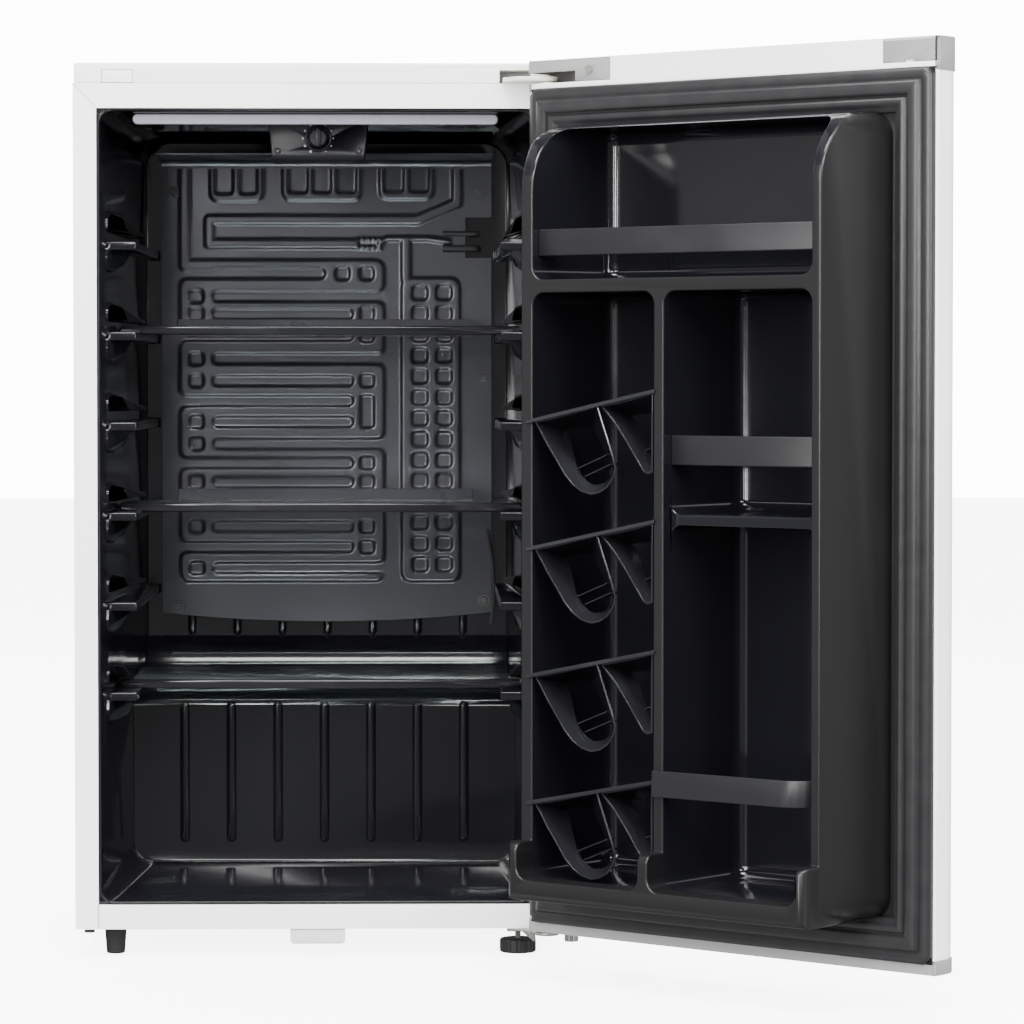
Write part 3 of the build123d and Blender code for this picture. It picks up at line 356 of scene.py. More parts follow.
class FridgeLook(bpy.types.PropertyGroup):
    """Colours and sizes a user would change."""

    enamel_color: shade("Enamel", "Colour of the painted steel", (0.86, 0.86, 0.85))
    plastic_color: shade("Worktop", "Colour of the white mouldings", (0.84, 0.84, 0.83))
    liner_color: shade("Liner", "Colour of the cabinet and door liners", (0.006, 0.006, 0.008))
    gasket_color: shade("Gasket", "Colour of the door seal", (0.010, 0.010, 0.011))
    plate_color: shade("Plate", "Colour of the evaporator plate", (0.060, 0.060, 0.068))
    channel_rise: length("Channel rise", "How far the evaporator's channels stand out of its plate", 0.0024)
    channel_edge: length("Channel edge", "Half the width of a channel's sloping edge", 0.0019)
    cradle_wall: length("Cradle wall", "Thickness of the can cradles", 0.0018)
    wire_radius: length("Sensor tube", "Radius of the sensor tube beside the plate", 0.0016)


# ------------------------------------------------------------------ the stage
# Places and sizes are in metres, turns in degrees, lenses in millimetres and lamps in watts.
FLOOR_HALF = 14
CAMERA_PLACE = (0.102, -3.9725, 0.541)
CAMERA_TILT, CAMERA_TURN = -1.92, -1.2
CAMERA_LENS, CAMERA_SENSOR = 142.4, 36.0
# The world's strength depends on the ray: BACKDROP_LIGHT where the camera sees it, ROOM_LIGHT where it lights a matt
# surface, and ROOM_BANDS where a glossy one mirrors it, as (direction, brightness) from far left to far right.
BACKDROP_LIGHT = 14.0
ROOM_LIGHT = 3.0
ROOM_TINT = (0.98, 0.99, 1.0, 1)
ROOM_BANDS = ((0, 0.30), (0.09, 0.28), (0.14, 0.70), (0.23, 0.70), (0.27, 0.12), (0.44, 0.34), (0.56, 0.30),
              (0.72, 0.12), (0.76, 0.85), (0.85, 0.85), (0.90, 0.34), (1.0, 0.36))
# Name, place, the point it faces, width and height, power.
LAMPS = (
    ("key_left", (-1.7, -3.4, 1.5), (0.1, 0, 0.45), (0.5, 1.9), 95),
    ("key_right", (1.9, -3.2, 1.9), (0.1, 0, 0.5), (0.45, 1.7), 70),
    ("overhead", (-0.2, -1.5, 3.0), (0, -0.1, 0.4), (1.7, 0.9), 110),
    ("front_high", (0.3, -4.1, 2.7), (0.1, 0, 0.4), (1.7, 0.35), 55),
    ("front_low", (-0.75, -3.9, 0.9), (0, 0, 0.4), (0.4, 0.9), 16),
    ("side_left", (-3.4, -0.7, 1.0), (0.2, -0.4, 0.5), (1.2, 1.9), 3.5),
    ("side_right", (3.4, -0.6, 1.2), (0.2, -0.3, 0.5), (1.2, 1.9), 8),
    ("rear", (0.4, 3.6, 2.6), (0, 0, 0.4), (2.5, 1.6), 160),
)


class FRIDGE_OT_stage(bpy.types.Operator):
    """Puts up the floor, the soft lamps and the camera"""

    bl_idname = "fridge.stage"
    bl_label = "Stage"

    def execute(self, context):
        scene = context.scene
        mesh = bmesh.new()
        bmesh.ops.create_grid(mesh, x_segments=1, y_segments=1, size=FLOOR_HALF)
        floor = to_object("floor", mesh, "pale_floor")
        floor.visible_glossy = False
        floor.visible_diffuse = False
        world = bpy.data.worlds.new("studio")
        world.use_nodes = True
        tree = world.node_tree
        ray = add_node(tree, "ShaderNodeLightPath")
        toward = add_node(tree, "ShaderNodeTexCoord")
        split = add_node(tree, "ShaderNodeSeparateXYZ", Vector=Sock(tree, toward.outputs["Generated"]))
        across = add_node(tree, "ShaderNodeMapRange", Value=Sock(tree, split.outputs["X"]), From_Min=-1.0)
        stops = [(place, (bright, bright, bright, 1)) for place, bright in ROOM_BANDS]
        bands = add_node(tree, "ShaderNodeValToRGB", {"stops": stops}, Fac=Sock(tree, across.outputs["Result"]))
        lit = add_node(
            tree, "ShaderNodeMix", Factor=Sock(tree, ray.outputs["Is Glossy Ray"]), A=ROOM_LIGHT,
            B=Sock(tree, bands.outputs["Color"]))
        seen = add_node(
            tree, "ShaderNodeMix", Factor=Sock(tree, ray.outputs["Is Camera Ray"]),
            A=Sock(tree, lit.outputs["Result"]), B=BACKDROP_LIGHT)
        background = tree.nodes["Background"]
        background.inputs["Color"].default_value = ROOM_TINT
        tree.links.new(seen.outputs["Result"], background.inputs["Strength"])
        scene.world = world
        for name, place, aim, size, power in LAMPS:
            lamp = bpy.data.lights.new(name, "AREA")
            lamp.shape = "RECTANGLE"
            lamp.size, lamp.size_y = size
            lamp.energy = power
            lamp_object = bpy.data.objects.new(name, lamp)
            lamp_object.location = place
            lamp_object.rotation_euler = (Vector(aim) - Vector(place)).to_track_quat("-Z", "Y").to_euler()
            scene.collection.objects.link(lamp_object)
        camera = bpy.data.cameras.new("camera")
        camera.sensor_width = CAMERA_SENSOR
        camera.lens = CAMERA_LENS
        camera.clip_end = 60
        camera_object = bpy.data.objects.new("camera", camera)
        camera_object.location = CAMERA_PLACE
        camera_object.rotation_euler = Euler((math.radians(90 + CAMERA_TILT), 0, math.radians(CAMERA_TURN)))
        scene.collection.objects.link(camera_object)
        scene.camera = camera_object
        return {"FINISHED"}


# ------------------------------------------------------------------ mesh helpers
def to_object(name, mesh, paint, body=None, stands_for=(), angle=35):
    """Ends a bmesh, in metres, as a shown object that rides on its body."""
    data = bpy.data.meshes.new(name)
    mesh.to_mesh(data)
    mesh.free()
    data.materials.append(paints[paint].material)
    data.shade_smooth()
    data.set_sharp_from_angle(angle=math.radians(angle))
    made = bpy.data.objects.new(name, data)
    bpy.context.scene.collection.objects.link(made)
    if body:
        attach(made, body)
    if stands_for:
        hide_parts(*stands_for)
    return made


def round_edges(made, width, segments=2, angle=30):
    """Rounds the sharp edges of a finished piece by a width in millimetres."""
    bevel = made.modifiers.new("Rounded edges", "BEVEL")
    bevel.width = width * MM
    bevel.segments = segments
    bevel.limit_method = "ANGLE"
    bevel.angle_limit = math.radians(angle)
    bevel.use_clamp_overlap = False
    bevel.harden_normals = True
    return made


def block(mesh, x, y, z):
    """A box between two places along each axis, in millimetres."""
    size = Matrix.Diagonal((x[1] - x[0], y[1] - y[0], z[1] - z[0], 1))
    centre = Matrix.Translation(((x[0] + x[1]) / 2, (y[0] + y[1]) / 2, (z[0] + z[1]) / 2))
    made = bmesh.ops.create_cube(mesh, size=1, matrix=centre @ size)
    return made["verts"]


def prism(mesh, outline, low, high, place):
    """An outline of two numbers a point, extruded between low and high; place turns (a, b, c) into a point."""
    loop = [mesh.verts.new(place(a, b, low)) for a, b in outline]
    face = mesh.faces.new(loop)
    grown = bmesh.ops.extrude_face_region(mesh, geom=[face])["geom"]
    moved = [v for v in grown if isinstance(v, bmesh.types.BMVert)]
    step = place(0, 0, high) - place(0, 0, low)
    bmesh.ops.translate(mesh, verts=moved, vec=step)
    return loop + moved


def turned(mesh, profile, centre, axis=(0, 0, 1), steps=32):
    """A profile of (radius, height) spun round an axis through centre."""
    z = Vector(axis).normalized()
    x = z.orthogonal().normalized()
    centre = Vector(centre)
    points = [mesh.verts.new(centre + x * r + z * h) for r, h in profile]
    edges = [mesh.edges.new(pair) for pair in zip(points, points[1:])]
    bmesh.ops.spin(mesh, geom=points + edges, cent=centre, axis=z, angle=math.tau, steps=steps, use_merge=True)
    bmesh.ops.remove_doubles(mesh, verts=mesh.verts, dist=0.001)


def pill(mesh, start, end, radius, flat=1.0, steps=12):
    """A rod with round ends between two points, flattened along Y about its own line."""
    start, end = Vector(start), Vector(end)
    line = end - start
    profile = [(0.0, -radius)]
    quarter = 5
    for i in range(1, quarter + 1):
        a = math.pi / 2 * i / quarter
        profile.append((radius * math.sin(a), -radius * math.cos(a)))
    for i in range(quarter):
        a = math.pi / 2 * i / quarter
        profile.append((radius * math.cos(a), line.length + radius * math.sin(a)))
    profile.append((0.0, line.length + radius))
    before = set(mesh.verts)
    turned(mesh, profile, start, line, steps)
    if flat != 1.0:
        for v in mesh.verts:
            if v not in before:
                v.co.y -= (v.co.y - start.y) * (1 - flat)


def pipe(name, points, radius, paint, body):
    """A tube along a smooth line through the points, in millimetres, made a mesh."""
    curve = bpy.data.curves.new(name, "CURVE")
    curve.dimensions = "3D"
    curve.bevel_depth = radius * MM
    curve.bevel_resolution = 2
    curve.use_fill_caps = True
    spline = curve.splines.new("NURBS")
    spline.points.add(len(points) - 1)
    for point, place in zip(spline.points, points):
        point.co = (*[v * MM for v in place], 1)
    spline.order_u = 3
    spline.use_endpoint_u = True
    spline.resolution_u = 6
    holder = bpy.data.objects.new(name + "_line", curve)
    data = bpy.data.meshes.new_from_object(holder)
    bpy.data.objects.remove(holder)
    mesh = bmesh.new()
    mesh.from_mesh(data)
    bmesh.ops.recalc_face_normals(mesh, faces=mesh.faces)
    return to_object(name, mesh, paint, body)


def finished(mesh):
    """Closes a mesh built in millimetres: doubles merged, normals out, scaled to metres."""
    bmesh.ops.remove_doubles(mesh, verts=mesh.verts, dist=0.0005)
    bmesh.ops.recalc_face_normals(mesh, faces=mesh.faces)
    bmesh.ops.scale(mesh, verts=mesh.verts, vec=(MM, MM, MM))
    return mesh


def on_door(mesh):
    """Swings a mesh that was built on the shut door, in millimetres, to where the door rests."""
    bmesh.ops.rotate(mesh, verts=mesh.verts, cent=(HINGE.x, HINGE.y, 0), matrix=Matrix.Rotation(OPEN_ANGLE, 3, "Z"))
    return mesh


def door_point(u, n, z):
    """A point on the shut door: along from the hinge side, out of its inner plane, and up."""
    return Vector((CABINET_HALF - u, DOOR_PLANE + n, z))


def out_of_door(point):
    """How far, in millimetres, a point stands out of the door's inner plane."""
    pin = Vector((HINGE.x * MM, HINGE.y * MM, 0))
    shut = pin + Matrix.Rotation(-OPEN_ANGLE, 3, "Z") @ (point - pin)
    return shut.y / MM - DOOR_PLANE


def softened(name, node, width, paint=None, reach=None):
    """A CAD node's own shape with its sharp edges rounded, or only those that stand further out than reach."""
    mesh = bmesh.new()
    mesh.from_mesh(nodes[node].data)
    bmesh.ops.remove_doubles(mesh, verts=mesh.verts, dist=0.00001)
    bmesh.ops.dissolve_limit(mesh, angle_limit=math.radians(0.6), verts=mesh.verts, edges=mesh.edges)
    body = nodes[node]["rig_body"]
    slot = CAD_FINISH[node]
    if reach is not None:
        weight = mesh.edges.layers.float.new("bevel_weight_edge")
        for edge in mesh.edges:
            sharp = len(edge.link_faces) == 2 and edge.calc_face_angle() > math.radians(40)
            edge[weight] = float(sharp and all(out_of_door(v.co) > reach for v in edge.verts))
    made = to_object(name, mesh, paint or slot, body, (node,), angle=180)
    round_edges(made, width)
    if reach is not None:
        made.modifiers[0].limit_method = "WEIGHT"
        made.data.set_sharp_from_angle(angle=math.radians(40))
    return made


CAD_FINISH = {m["node"]: m["material_slot"] for m in frame["record"]["subparts"]}


class FRIDGE_OT_finish_frame(bpy.types.Operator):
    """Gives every carried-over CAD node its finish, and rounds the sharp edges of those that show"""

    bl_idname = "fridge.finish_frame"
    bl_label = "CAD finishes"

    def execute(self, context):
        for name, piece in nodes.items():
            finish = paints[CAD_FINISH[name]].material
            piece.data.materials.clear()
            piece.data.materials.append(finish)
        for name, node, width, *paint in (
            ("top_cap", "worktop", 0.5),
            ("recess_plug", "hinge_recess_plug", 0.5),
            ("front_rail", "bottom_rail", 0.4),
            ("hinge_leaf", "top_hinge_leaf", 0.6),
            ("lower_bracket", "bottom_hinge_bracket", 0.5),
            ("spacer_block", "hinge_spacer", 0.5),
            ("dial_housing", "thermostat_housing", 0.9),
            ("clear_stop_tab", "lower_tab", 0.4),
            ("door_cap_top_free", "top_free_cap", 0.5),
            ("door_cap_top_hinge", "top_hinge_cap", 0.5),
            ("door_cap_bottom", "bottom_free_cap", 0.5),
            ("door_rail_top", "door_top_rail", 0.5),
            ("door_rail_bottom", "door_bottom_rail", 0.5),
            ("guard_bar", "bottle_guard", 0.8, "bar_satin"),
            ("pocket_bar_top", "top_retainer_bar", 0.8, "bar_satin"),
            ("pocket_bar_middle", "middle_retainer_bar", 0.8, "bar_satin"),
            ("upper_glass", "upper_shelf_glass", 0.6),
            ("lower_glass", "lower_shelf_glass", 0.6),
            ("bottom_glass", "bottom_shelf_glass", 0.6),
            ("upper_front_trim", "upper_shelf_trim", 0.7),
            ("lower_front_trim", "lower_shelf_trim", 0.7),
            ("bottom_front_trim", "bottom_shelf_trim", 0.7),
            ("upper_back_bar", "upper_shelf_rear_bar", 0.8, "smoke_bar"),
            ("lower_back_bar", "lower_shelf_rear_bar", 0.8, "smoke_bar"),
            ("door_liner_shell", "door_liner", 1.6, "door_liner_black", 40),
            ("cabinet_liner", "inner_liner", 1.2),
        ):
            softened(name, node, width, *paint)
        return {"FINISHED"}


# ------------------------------------------------------------------ evaporator plate
# Places on the plate are (x, z) in millimetres, with z up.
PLATE_FRONT = 161.5
ROW_Z = (645.4, 622.0, 604.2, 582.2, 558.7, 536.2, 515.8, 494.5, 472.0, 452.6, 433.1, 411.8, 387.7, 366.8, 345.5)
PLATE_LEFT_OPEN = (0, 3, 6, 9, 13)
PLATE_RIGHT_OPEN = (1, 4, 8, 11, 14)
PAIR_COLUMNS = (94.6, 119.2)


def box_distance(x, z, low, high, corner):
    """Signed distance from points to a rounded box in the plate's plane."""
    cx, cz = (low[0] + high[0]) / 2, (low[1] + high[1]) / 2
    hx, hz = (high[0] - low[0]) / 2 - corner, (high[1] - low[1]) / 2 - corner
    qx, qz = np.abs(x - cx) - hx, np.abs(z - cz) - hz
    outside = np.hypot(np.maximum(qx, 0), np.maximum(qz, 0))
    return outside + np.minimum(np.maximum(qx, qz), 0) - corner


def line_distance(x, z, points, radius):
    """Signed distance from points to a channel that follows a broken line."""
    nearest = np.full_like(x, 1e9)
    for (ax, az), (bx, bz) in zip(points, points[1:]):
        dx, dz = bx - ax, bz - az
        t = np.clip(((x - ax) * dx + (z - az) * dz) / (dx * dx + dz * dz), 0, 1)
        nearest = np.minimum(nearest, np.hypot(x - ax - t * dx, z - az - t * dz))
    return nearest - radius


def soft_max(a, b, blend):
    """The larger of two distances, rounded where they meet."""
    h = np.clip(0.5 + 0.5 * (a - b) / blend, 0, 1)
    return b + (a - b) * h + blend * h * (1 - h)


def plate_height(x, z, height_of_channel, half_edge):
    """How far the inflated channels stand out of the flat plate."""
    field = box_distance(x, z, (-149.7, 331.5), (58.4, 659.5), 10)
    for row, height in enumerate(ROW_Z):
        left = -230 if row in PLATE_LEFT_OPEN else -116.3
        right = 140 if row in PLATE_RIGHT_OPEN else (26.7 if row else -1.5)
        opened = row in PLATE_LEFT_OPEN or row in PLATE_RIGHT_OPEN
        pill_field = box_distance(x, z, (left, height - 5.3), (right, height + 5.3), 5.2)
        field = soft_max(field, -pill_field, 9.0 if opened else 0.5)
        squares = []
        if row not in PLATE_LEFT_OPEN:
            squares.append(-132.7)
        if row not in PLATE_RIGHT_OPEN and row not in (6, 7):
            squares.append(40.7)
        if row == 0:
            squares.append(16.1)
        for place in squares:
            square = box_distance(x, z, (place - 7.2, height - 6.6), (place + 7.2, height + 6.6), 4)
            field = soft_max(field, -square, 0.5)
    long_island = box_distance(x, z, (34, ROW_Z[7] - 6), (48, ROW_Z[6] + 6), 4)
    field = soft_max(field, -long_island, 0.5)
    pairs = box_distance(x, z, (75.9, 331.5), (135.5, 641.2), 10)
    for row in range(14):
        height = 626.0 - 21.3 * row
        for place in PAIR_COLUMNS:
            square = box_distance(x, z, (place - 8, height - 7.4), (place + 8, height + 7.4), 4.5)
            pairs = soft_max(pairs, -square, 0.5)
    field = np.minimum(field, pairs)
    for low, high, bottom, cells in (
        (-118.6, -64.7, 718.5, ((-113.9, -95.2), (-88.2, -70.6))),
        (-44.8, 34.9, 719.7, ((-38.9, -19.0), (-14.3, 4.4), (10.3, 30.2))),
        (53.6, 108.7, 720.9, ((58.3, 78.2), (84.1, 104.0))),
    ):
        group = box_distance(x, z, (low, bottom), (high, 800), 9)
        for left, right in cells:
            cell = box_distance(x, z, (left, bottom + 7.5), (right, 820), 4)
            group = soft_max(group, -cell, 0.5)
        field = np.minimum(field, group)
    for points, radius in (
        (((-144.4, 800), (-144.4, 654.0), (-120, 654.0)), 5.2),
        (((132.6, 800), (132.6, 717.5), (92.3, 700.0), (-119.3, 700.0)), 4.7),
        (((-119.3, 700.0), (-119.3, 675.7), (28, 675.7)), 4.7),
        (((53.6, 675.7), (60.6, 681.0), (103, 681.0), (124, 678.0)), 2.3),
        (((80.6, 679.0), (80.6, 640)), 4.7),
    ):
        field = np.minimum(field, line_distance(x, z, points, radius))
    for crimp in range(5):
        for height in (671.6, 679.8):
            spot = np.hypot(x - (31.5 + 5.6 * crimp), z - height) - 2.0
            field = np.minimum(field, spot)
    rise = np.clip(0.5 - field / (2 * half_edge), 0, 1)
    return height_of_channel * rise * rise * (3 - 2 * rise)


class FRIDGE_OT_evaporator(bpy.types.Operator):
    """Inflates the evaporator plate's channels and adds its screws"""

    bl_idname = "fridge.evaporator"
    bl_label = "Evaporator plate"

    def execute(self, context):
        low, high = (-156.0, 326.0), (141.0, 751.5)
        pitch = 1.42
        counts = [round((high[i] - low[i]) / pitch) for i in (0, 1)]
        mesh = bmesh.new()
        centre = Matrix.Translation(((low[0] + high[0]) / 2, 0, (low[1] + high[1]) / 2))
        size = Matrix.Diagonal(((high[0] - low[0]) / 2, 1, (high[1] - low[1]) / 2, 1))
        upright = Matrix.Rotation(math.radians(90), 4, "X")
        bmesh.ops.create_grid(
            mesh, x_segments=counts[0], y_segments=counts[1], size=1, matrix=centre @ size @ upright)
        x = np.array([v.co.x for v in mesh.verts])
        z = np.array([v.co.z for v in mesh.verts])
        look = context.scene.fridge_look
        rise = plate_height(x, z, look.channel_rise / MM, look.channel_edge / MM)
        notch = (x > 131) & (z > 655) & (z < 709)
        rise[notch] = 0
        for vert, out in zip(mesh.verts, rise):
            vert.co.y = PLATE_FRONT - 0.12 - out
        rim = [e for e in mesh.edges if e.is_boundary]
        skirt = bmesh.ops.extrude_edge_only(mesh, edges=rim)["geom"]
        skirt = [v for v in skirt if isinstance(v, bmesh.types.BMVert)]
        for vert in skirt:
            vert.co.y = PLATE_FRONT + 0.6
        bmesh.ops.recalc_face_normals(mesh, faces=mesh.faces)
        front = max(mesh.faces, key=lambda face: face.calc_area() * abs(face.normal.y))
        if front.normal.y > 0:
            bmesh.ops.reverse_faces(mesh, faces=mesh.faces)
        bmesh.ops.scale(mesh, verts=mesh.verts, vec=(MM, MM, MM))
        to_object("plate_channels", mesh, "evaporator_coat", "cabinet", angle=80)

        mesh = bmesh.new()
        for x, z in ((-154, 728), (156, 728), (160, 540), (160, 312), (-152, 306)):
            head = [(0, 2.7), (1.0, 2.6), (1.6, 1.6), (2.6, 2.3), (3.9, 1.5), (4.4, 0.4), (4.4, -0.3), (0, -0.3)]
            turned(mesh, head, (x, PLATE_FRONT, z), (0, -1, 0), 20)
            washer = [(0, 0.5), (6.4, 0.5), (6.9, 0.1), (6.9, -0.2), (0, -0.2)]
            turned(mesh, washer, (x, PLATE_FRONT, z), (0, -1, 0), 28)
        to_object("plate_screw_heads", finished(mesh), "screw_black", "cabinet")
        pipe("sensor_tube", [(163.5, 160, 385), (164.5, 158, 372), (168.5, 158, 356), (169.5, 159, 330),
                             (169, 160, 300), (166.5, 160, 288)], look.wire_radius / MM, "sleeve_black", "cabinet")
        return {"FINISHED"}


# ------------------------------------------------------------------ cabinet liner
RIB_X = [-138.2 + 46.06 * i for i in range(7)]
SHELF_LEVELS = [250.0 + 84.8 * i for i in range(6)]
LINER_HALF = 200.0
LINER_DRAFT = 16.5 / 392.0


def wall_x(depth):
    """Half the liner's width at a depth behind the front."""
    return LINER_HALF - LINER_DRAFT * depth


class FRIDGE_OT_liner(bpy.types.Operator):
    """Adds the moulded ribs, gutter and shelf supports of the cabinet liner"""

    bl_idname = "fridge.liner"
    bl_label = "Liner mouldings"

    def execute(self, context):
        mesh = bmesh.new()
        step_front = CABINET_FRONT + 262
        for x in RIB_X:
            pill(mesh, (x, step_front + 1.2, 84), (x, step_front + 1.2, 214), 5.2, 0.75)
            pill(mesh, (x, CABINET_FRONT + 392.5, 281), (x, CABINET_FRONT + 392.5, 330), 4.4, 0.9)
        to_object("liner_ribs", finished(mesh), "black_liner", "cabinet")

        mesh = bmesh.new()
        gutter = [(392.5, 276), (386, 268), (379, 264), (373, 263), (369.5, 259), (369, 252), (366, 246), (361, 243),
                  (356, 242), (352.5, 238), (351, 232), (346, 227), (393.5, 225)]
        prism(mesh, gutter, -183.5, 183.5, lambda a, b, c: Vector((c, CABINET_FRONT + a, b)))
        to_object("liner_gutter", finished(mesh), "black_liner", "cabinet", angle=60)

        mesh = bmesh.new()
        for level, top in enumerate(SHELF_LEVELS):
            rear = 330 if level else 256
            for side in (-1, 1):
                lower = [(42, -24), (46, -12), (58, -8.2), (rear, -8.2), (rear, -15), (150, -17), (96, -28),
                         (66, -36), (50, -34)]
                upper = [(44, 3.5), (46, 14), (58, 22), (92, 18), (120, 8), (rear - 60, 6), (rear - 60, 3.5)]
                for outline in (lower, upper):
                    def place(a, b, c):
                        return Vector((side * (wall_x(a) + 1 - c), CABINET_FRONT + a, top + b))
                    verts = prism(mesh, outline, 0, 1, place)
                    for vert in verts[len(outline):]:
                        depth = vert.co.y - CABINET_FRONT
                        vert.co.x -= side * 12.5 * min(1, max(0, (depth - 44) / 48))
        supports = to_object("shelf_supports", finished(mesh), "black_liner", "cabinet", angle=180)
        round_edges(supports, 3.0, 3, 25)

        return {"FINISHED"}


# ------------------------------------------------------------------ door fittings
GASKET_PROFILE = ((0, 0.1), (0, 3.0), (1.6, 4.6), (7.6, 5.6), (9.2, 4.6), (10.2, 4.6), (11.6, 7.8), (13.6, 8.9),
                  (20.6, 9.1), (22.4, 8.4), (23.4, 5.6), (24.8, 5.2), (26.2, 7.4), (28.6, 8.6), (31.4, 7.6),
                  (32.8, 5.4), (34.4, 5.0), (37.2, 3.6), (37.8, 2.2), (37.8, 0.1))
RACK_PITCH, RACK_LOW = 113.7, 159.0
FIRST_MOUTH = ((77, 0.5), (92, 3.6), (110, 7.3), (129, 11.2), (149, 15.0), (154, 2), (160, -13), (166, -28),
               (169.5, -39), (167, -48), (160, -57), (151, -62), (141, -64), (130, -61.5), (120, -56),
               (110.5, -47), (101, -34), (91, -21), (83, -9))
FIRST_WINDOW = ((82, -8, 50), (89, -4, 49), (98, -2.5, 49), (107, -2, 49), (115, -3.5, 49), (125, -13, 53),
                (136, -24, 58), (147, -34, 64), (155, -41, 69), (154, -48, 70), (148, -54, 71), (141, -56, 71),
                (133, -56.5, 71), (125, -53, 71), (118, -48, 70), (110, -40, 67), (101, -29, 61), (93, -20, 55),
                (86, -13, 51))
SECOND_MOUTH = ((152, 14.5), (170, 18.5), (190, 22.5), (209.5, 26.5), (209.5, 5), (209.5, -18), (209.5, -43),
                (204, -44.8), (199, -43), (190, -31), (180, -17), (168, -2), (158, 8))
SECOND_WINDOW = ((158, 6, 50), (170, 9, 49), (186, 10.5, 49), (206, 12, 49), (206.5, -3, 54), (206.5, -18, 60),
                 (206.5, -33, 68), (202, -37.5, 70), (197, -36, 70), (189, -27, 65), (180, -16, 60), (171, -5, 55),
                 (163, 2, 51))


class FRIDGE_OT_gasket(bpy.types.Operator):
    """Builds the door seal with its bellows and mitred corners"""

    bl_idname = "fridge.gasket"
    bl_label = "Gasket"

    def execute(self, context):
        mesh = bmesh.new()
        loops = []
        for depth, out in GASKET_PROFILE:
            clip = max(0.8, 6.5 - 0.5 * depth)
            u = (4 + depth, 445 - depth)
            z = (38.5 + depth, 803.7 - depth)
            corners = ((u[0] + clip, z[0]), (u[1] - clip, z[0]), (u[1], z[0] + clip), (u[1], z[1] - clip),
                       (u[1] - clip, z[1]), (u[0] + clip, z[1]), (u[0], z[1] - clip), (u[0], z[0] + clip))
            verts = [mesh.verts.new(door_point(a, out, b)) for a, b in corners]
            loops.append([mesh.edges.new((verts[i], verts[(i + 1) % 8])) for i in range(8)])
        for first, second in zip(loops, loops[1:] + loops[:1]):
            bmesh.ops.bridge_loops(mesh, edges=first + second)
        to_object(
            "door_seal", finished(on_door(mesh)), "gasket_rubber", "door", stands_for=("door_gasket",), angle=50)
        return {"FINISHED"}


def cradle(mesh, mouth, window, base_z):
    """One can cradle: a moulded sheet from its mouth back to its window."""
    loops = []
    for points in ([(u, 84.9, z) for u, z in mouth], [(u, n, z) for u, z, n in window]):
        verts = [mesh.verts.new(door_point(u, n, base_z + z)) for u, n, z in points]
        loops.append([mesh.edges.new((verts[i], verts[(i + 1) % len(verts)])) for i in range(len(verts))])
    bmesh.ops.bridge_loops(mesh, edges=loops[0] + loops[1])


class FRIDGE_OT_can_racks(bpy.types.Operator):
    """Builds the four can racks with their rails, cradles and ribs"""

    bl_idname = "fridge.can_racks"
    bl_label = "Can racks"

    def execute(self, context):
        for index in range(4):
            base_z = RACK_LOW + RACK_PITCH * index
            mesh = bmesh.new()
            cradle(mesh, FIRST_MOUTH, FIRST_WINDOW, base_z)
            cradle(mesh, SECOND_MOUTH, SECOND_WINDOW, base_z)
            bmesh.ops.recalc_face_normals(mesh, faces=mesh.faces)
            cups = to_object(f"can_cradles_{index + 1}", finished(on_door(mesh)), "black_trim", "door", angle=60)
            wall = cups.modifiers.new("Wall", "SOLIDIFY")
            wall.thickness = context.scene.fridge_look.cradle_wall
            wall.offset = -1
            round_edges(cups, 0.5, 2, 40)
            mesh = bmesh.new()
            rail = ((68, -1.8), (68, 1.8), (212.5, 29.8), (212.5, 26.2))
            prism(mesh, rail, 83.2, 87.4, lambda a, b, c: door_point(a, c, base_z + b))
            for low, high in (((114, -42), (148, -29)), ((122, -49), (153, -37))):
                rib = (low, (low[0], low[1] + 1.4), (high[0], high[1] + 1.4), high)
                prism(mesh, rib, 60, 71, lambda a, b, c: door_point(a, c, base_z + b))
            for low, high in (((188, -25), (207, -18)), ((194, -32), (207, -27))):
                rib = (low, (low[0], low[1] + 1.4), (high[0], high[1] + 1.4), high)
                prism(mesh, rib, 58, 68, lambda a, b, c: door_point(a, c, base_z + b))
            bars = to_object(f"can_rail_{index + 1}", finished(on_door(mesh)), "black_trim", "door",
                             stands_for=(f"can_rack_{index + 1}",), angle=180)
            round_edges(bars, 0.6, 2, 40)
        return {"FINISHED"}


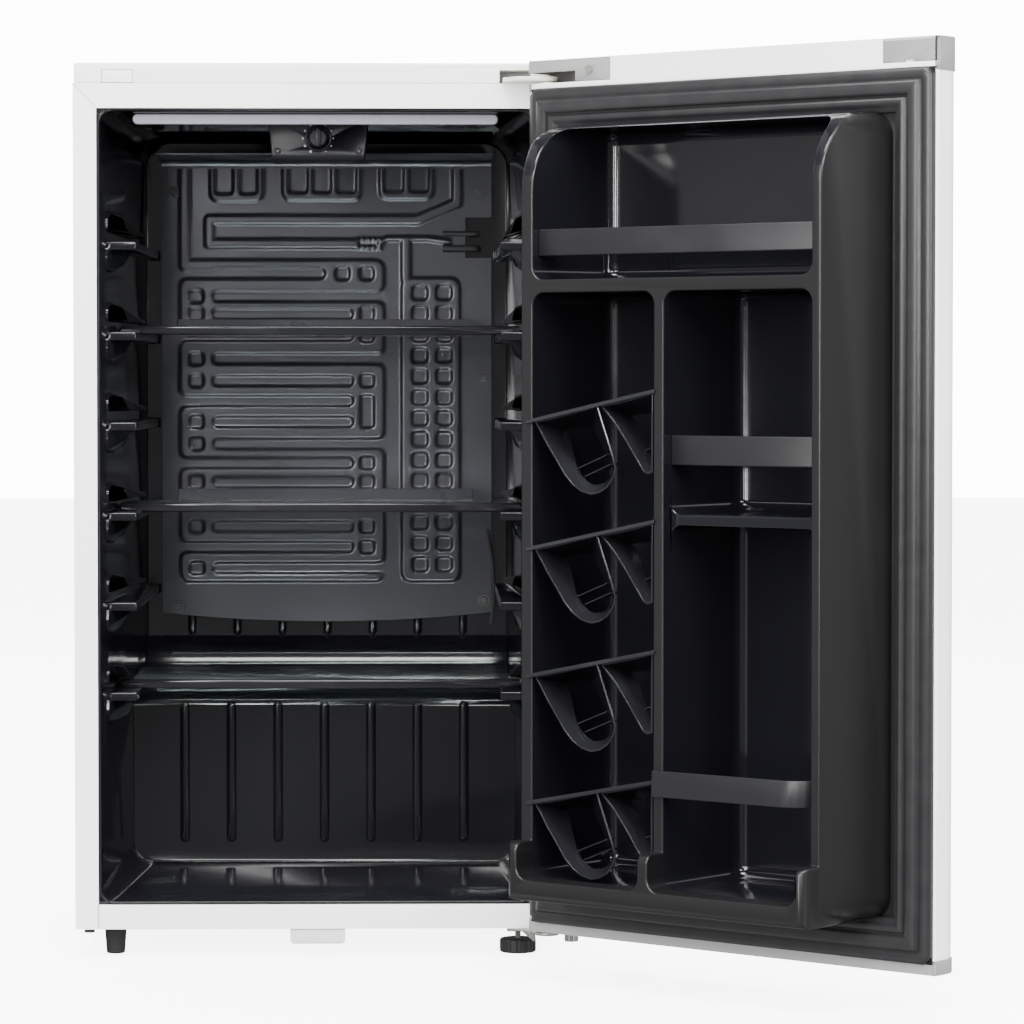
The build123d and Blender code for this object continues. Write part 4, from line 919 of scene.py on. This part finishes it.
class FRIDGE_OT_hardware(bpy.types.Operator):
    """Builds the dial, its marks, the threaded stud, and the screws that show"""

    bl_idname = "fridge.hardware"
    bl_label = "Hardware"

    def execute(self, context):
        low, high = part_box("levelling_stud")
        centre = (low + high) / 2 / MM
        mesh = bmesh.new()
        profile = [(0, low.z / MM)]
        z = low.z / MM
        while z < high.z / MM - 1:
            profile += [(2.55, z + 0.1), (3.0, z + 0.5)]
            z += 1
        profile += [(2.4, high.z / MM - 0.3), (0, high.z / MM)]
        turned(mesh, profile, (centre.x, centre.y, 0), (0, 0, 1), 24)
        to_object("threaded_stud", finished(mesh), "zinc_steel", "levelling_foot", stands_for=("levelling_stud",))

        centre = Vector((0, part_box("thermostat_dial")[0].y / MM, DIAL_HEIGHT))
        mesh = bmesh.new()
        knob = [(0, -4.6), (7.2, -4.6), (7.9, -5.2), (8.4, -9.0), (9.0, -13.2), (9.0, -15.2), (3.0, -15.4),
                (3.0, -23.4), (0, -23.4)]
        turned(mesh, knob, centre, (0, -1, 0), 48)
        verts = block(mesh, (-2.1, 2.1), (centre.y + 0.1, centre.y + 7), (755.8, 772.2))
        bmesh.ops.bevel(mesh, geom=[e for e in mesh.edges if all(v in verts for v in e.verts)], offset=0.8,
                        affect="EDGES", segments=2, profile=0.5, material=-1)
        for tooth in range(24):
            a = math.tau * tooth / 24
            x, z = 8.75 * math.cos(a), DIAL_HEIGHT + 8.75 * math.sin(a)
            pill(mesh, (x, centre.y + 6, z), (x, centre.y + 14.4, z), 0.5, steps=6)
        to_object("dial_knob", finished(mesh), "housing_dark", "dial", stands_for=("thermostat_dial",))

        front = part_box("thermostat_housing")[0].y / MM
        mesh = bmesh.new()
        for mark in range(11):
            a = math.radians(-150 + 30 * mark) + math.pi / 2
            size = 0.45 + 0.07 * mark
            x, z = 14.2 * math.cos(a), DIAL_HEIGHT + 14.2 * math.sin(a)
            turned(mesh, [(0, 0.3), (size, 0.3), (size + 0.15, 0), (0, 0)], (x, front, z), (0, -1, 0), 12)
        to_object("dial_marks", finished(mesh), "grey_plastic", "cabinet")

        mesh = bmesh.new()
        collar = [(10.2, -0.3), (10.2, 1.4), (11.0, 2.0), (12.2, 1.6), (12.9, 0.4), (12.9, -0.3)]
        turned(mesh, collar, (0, front, DIAL_HEIGHT), (0, -1, 0), 64)
        to_object("dial_collar", finished(mesh), "housing_dark", "cabinet")

        mesh = bmesh.new()
        for side in (-1, 1):
            for ends in (((224.2, 810.6), (203.2, 789.4)), ((203.4, 52.2), (203.4, 29.6))):
                (ax, az), (bx, bz) = ends
                across = Vector((bz - az, ax - bx)).normalized() * 0.22
                seam = ((ax + across.x, az + across.y), (bx + across.x, bz + across.y),
                        (bx - across.x, bz - across.y), (ax - across.x, az - across.y))
                prism(mesh, seam, 0.3, -0.06, lambda a, b, c: Vector((side * a, CABINET_FRONT + c, b)))
        to_object("frame_seams", finished(mesh), "grey_plastic", "cabinet")

        mesh = bmesh.new()
        for x in (-38, 38):
            head = [(0, 1.0), (1.2, 1.0), (1.6, 0.3), (2.4, 0.9), (3.4, 0.2), (3.4, -0.2), (0, -0.2)]
            turned(mesh, head, (x, front, 752), (0, -1, 0), 20)
        to_object("housing_screws", finished(mesh), "screw_black", "cabinet")
        return {"FINISHED"}


# ------------------------------------------------------------------ panel and registration
STEPS = (
    FRIDGE_OT_stage, FRIDGE_OT_finish_frame, FRIDGE_OT_evaporator, FRIDGE_OT_liner, FRIDGE_OT_gasket,
    FRIDGE_OT_can_racks, FRIDGE_OT_hardware)


class FRIDGE_PT_panel(bpy.types.Panel):
    """Lists the fridge's operators"""

    bl_label = "Mini fridge"
    bl_idname = "FRIDGE_PT_panel"
    bl_space_type = "VIEW_3D"
    bl_region_type = "UI"
    bl_category = "Fridge"

    def draw(self, context):
        for step in STEPS:
            self.layout.operator(step.bl_idname)
        for name in FridgeLook.__annotations__:
            self.layout.prop(context.scene.fridge_look, name)


def register():
    for kind in (FridgeLook, *STEPS, FRIDGE_PT_panel):
        bpy.utils.register_class(kind)
    bpy.types.Scene.fridge_look = bpy.props.PointerProperty(type=FridgeLook)


def unregister():
    del bpy.types.Scene.fridge_look
    for kind in reversed((FridgeLook, *STEPS, FRIDGE_PT_panel)):
        bpy.utils.unregister_class(kind)


def main():
    register()
    make_paints(bpy.context.scene.fridge_look)
    for step in STEPS:
        module, name = step.bl_idname.split(".")
        getattr(getattr(bpy.ops, module), name)()


if __name__ == "__main__":
    main()
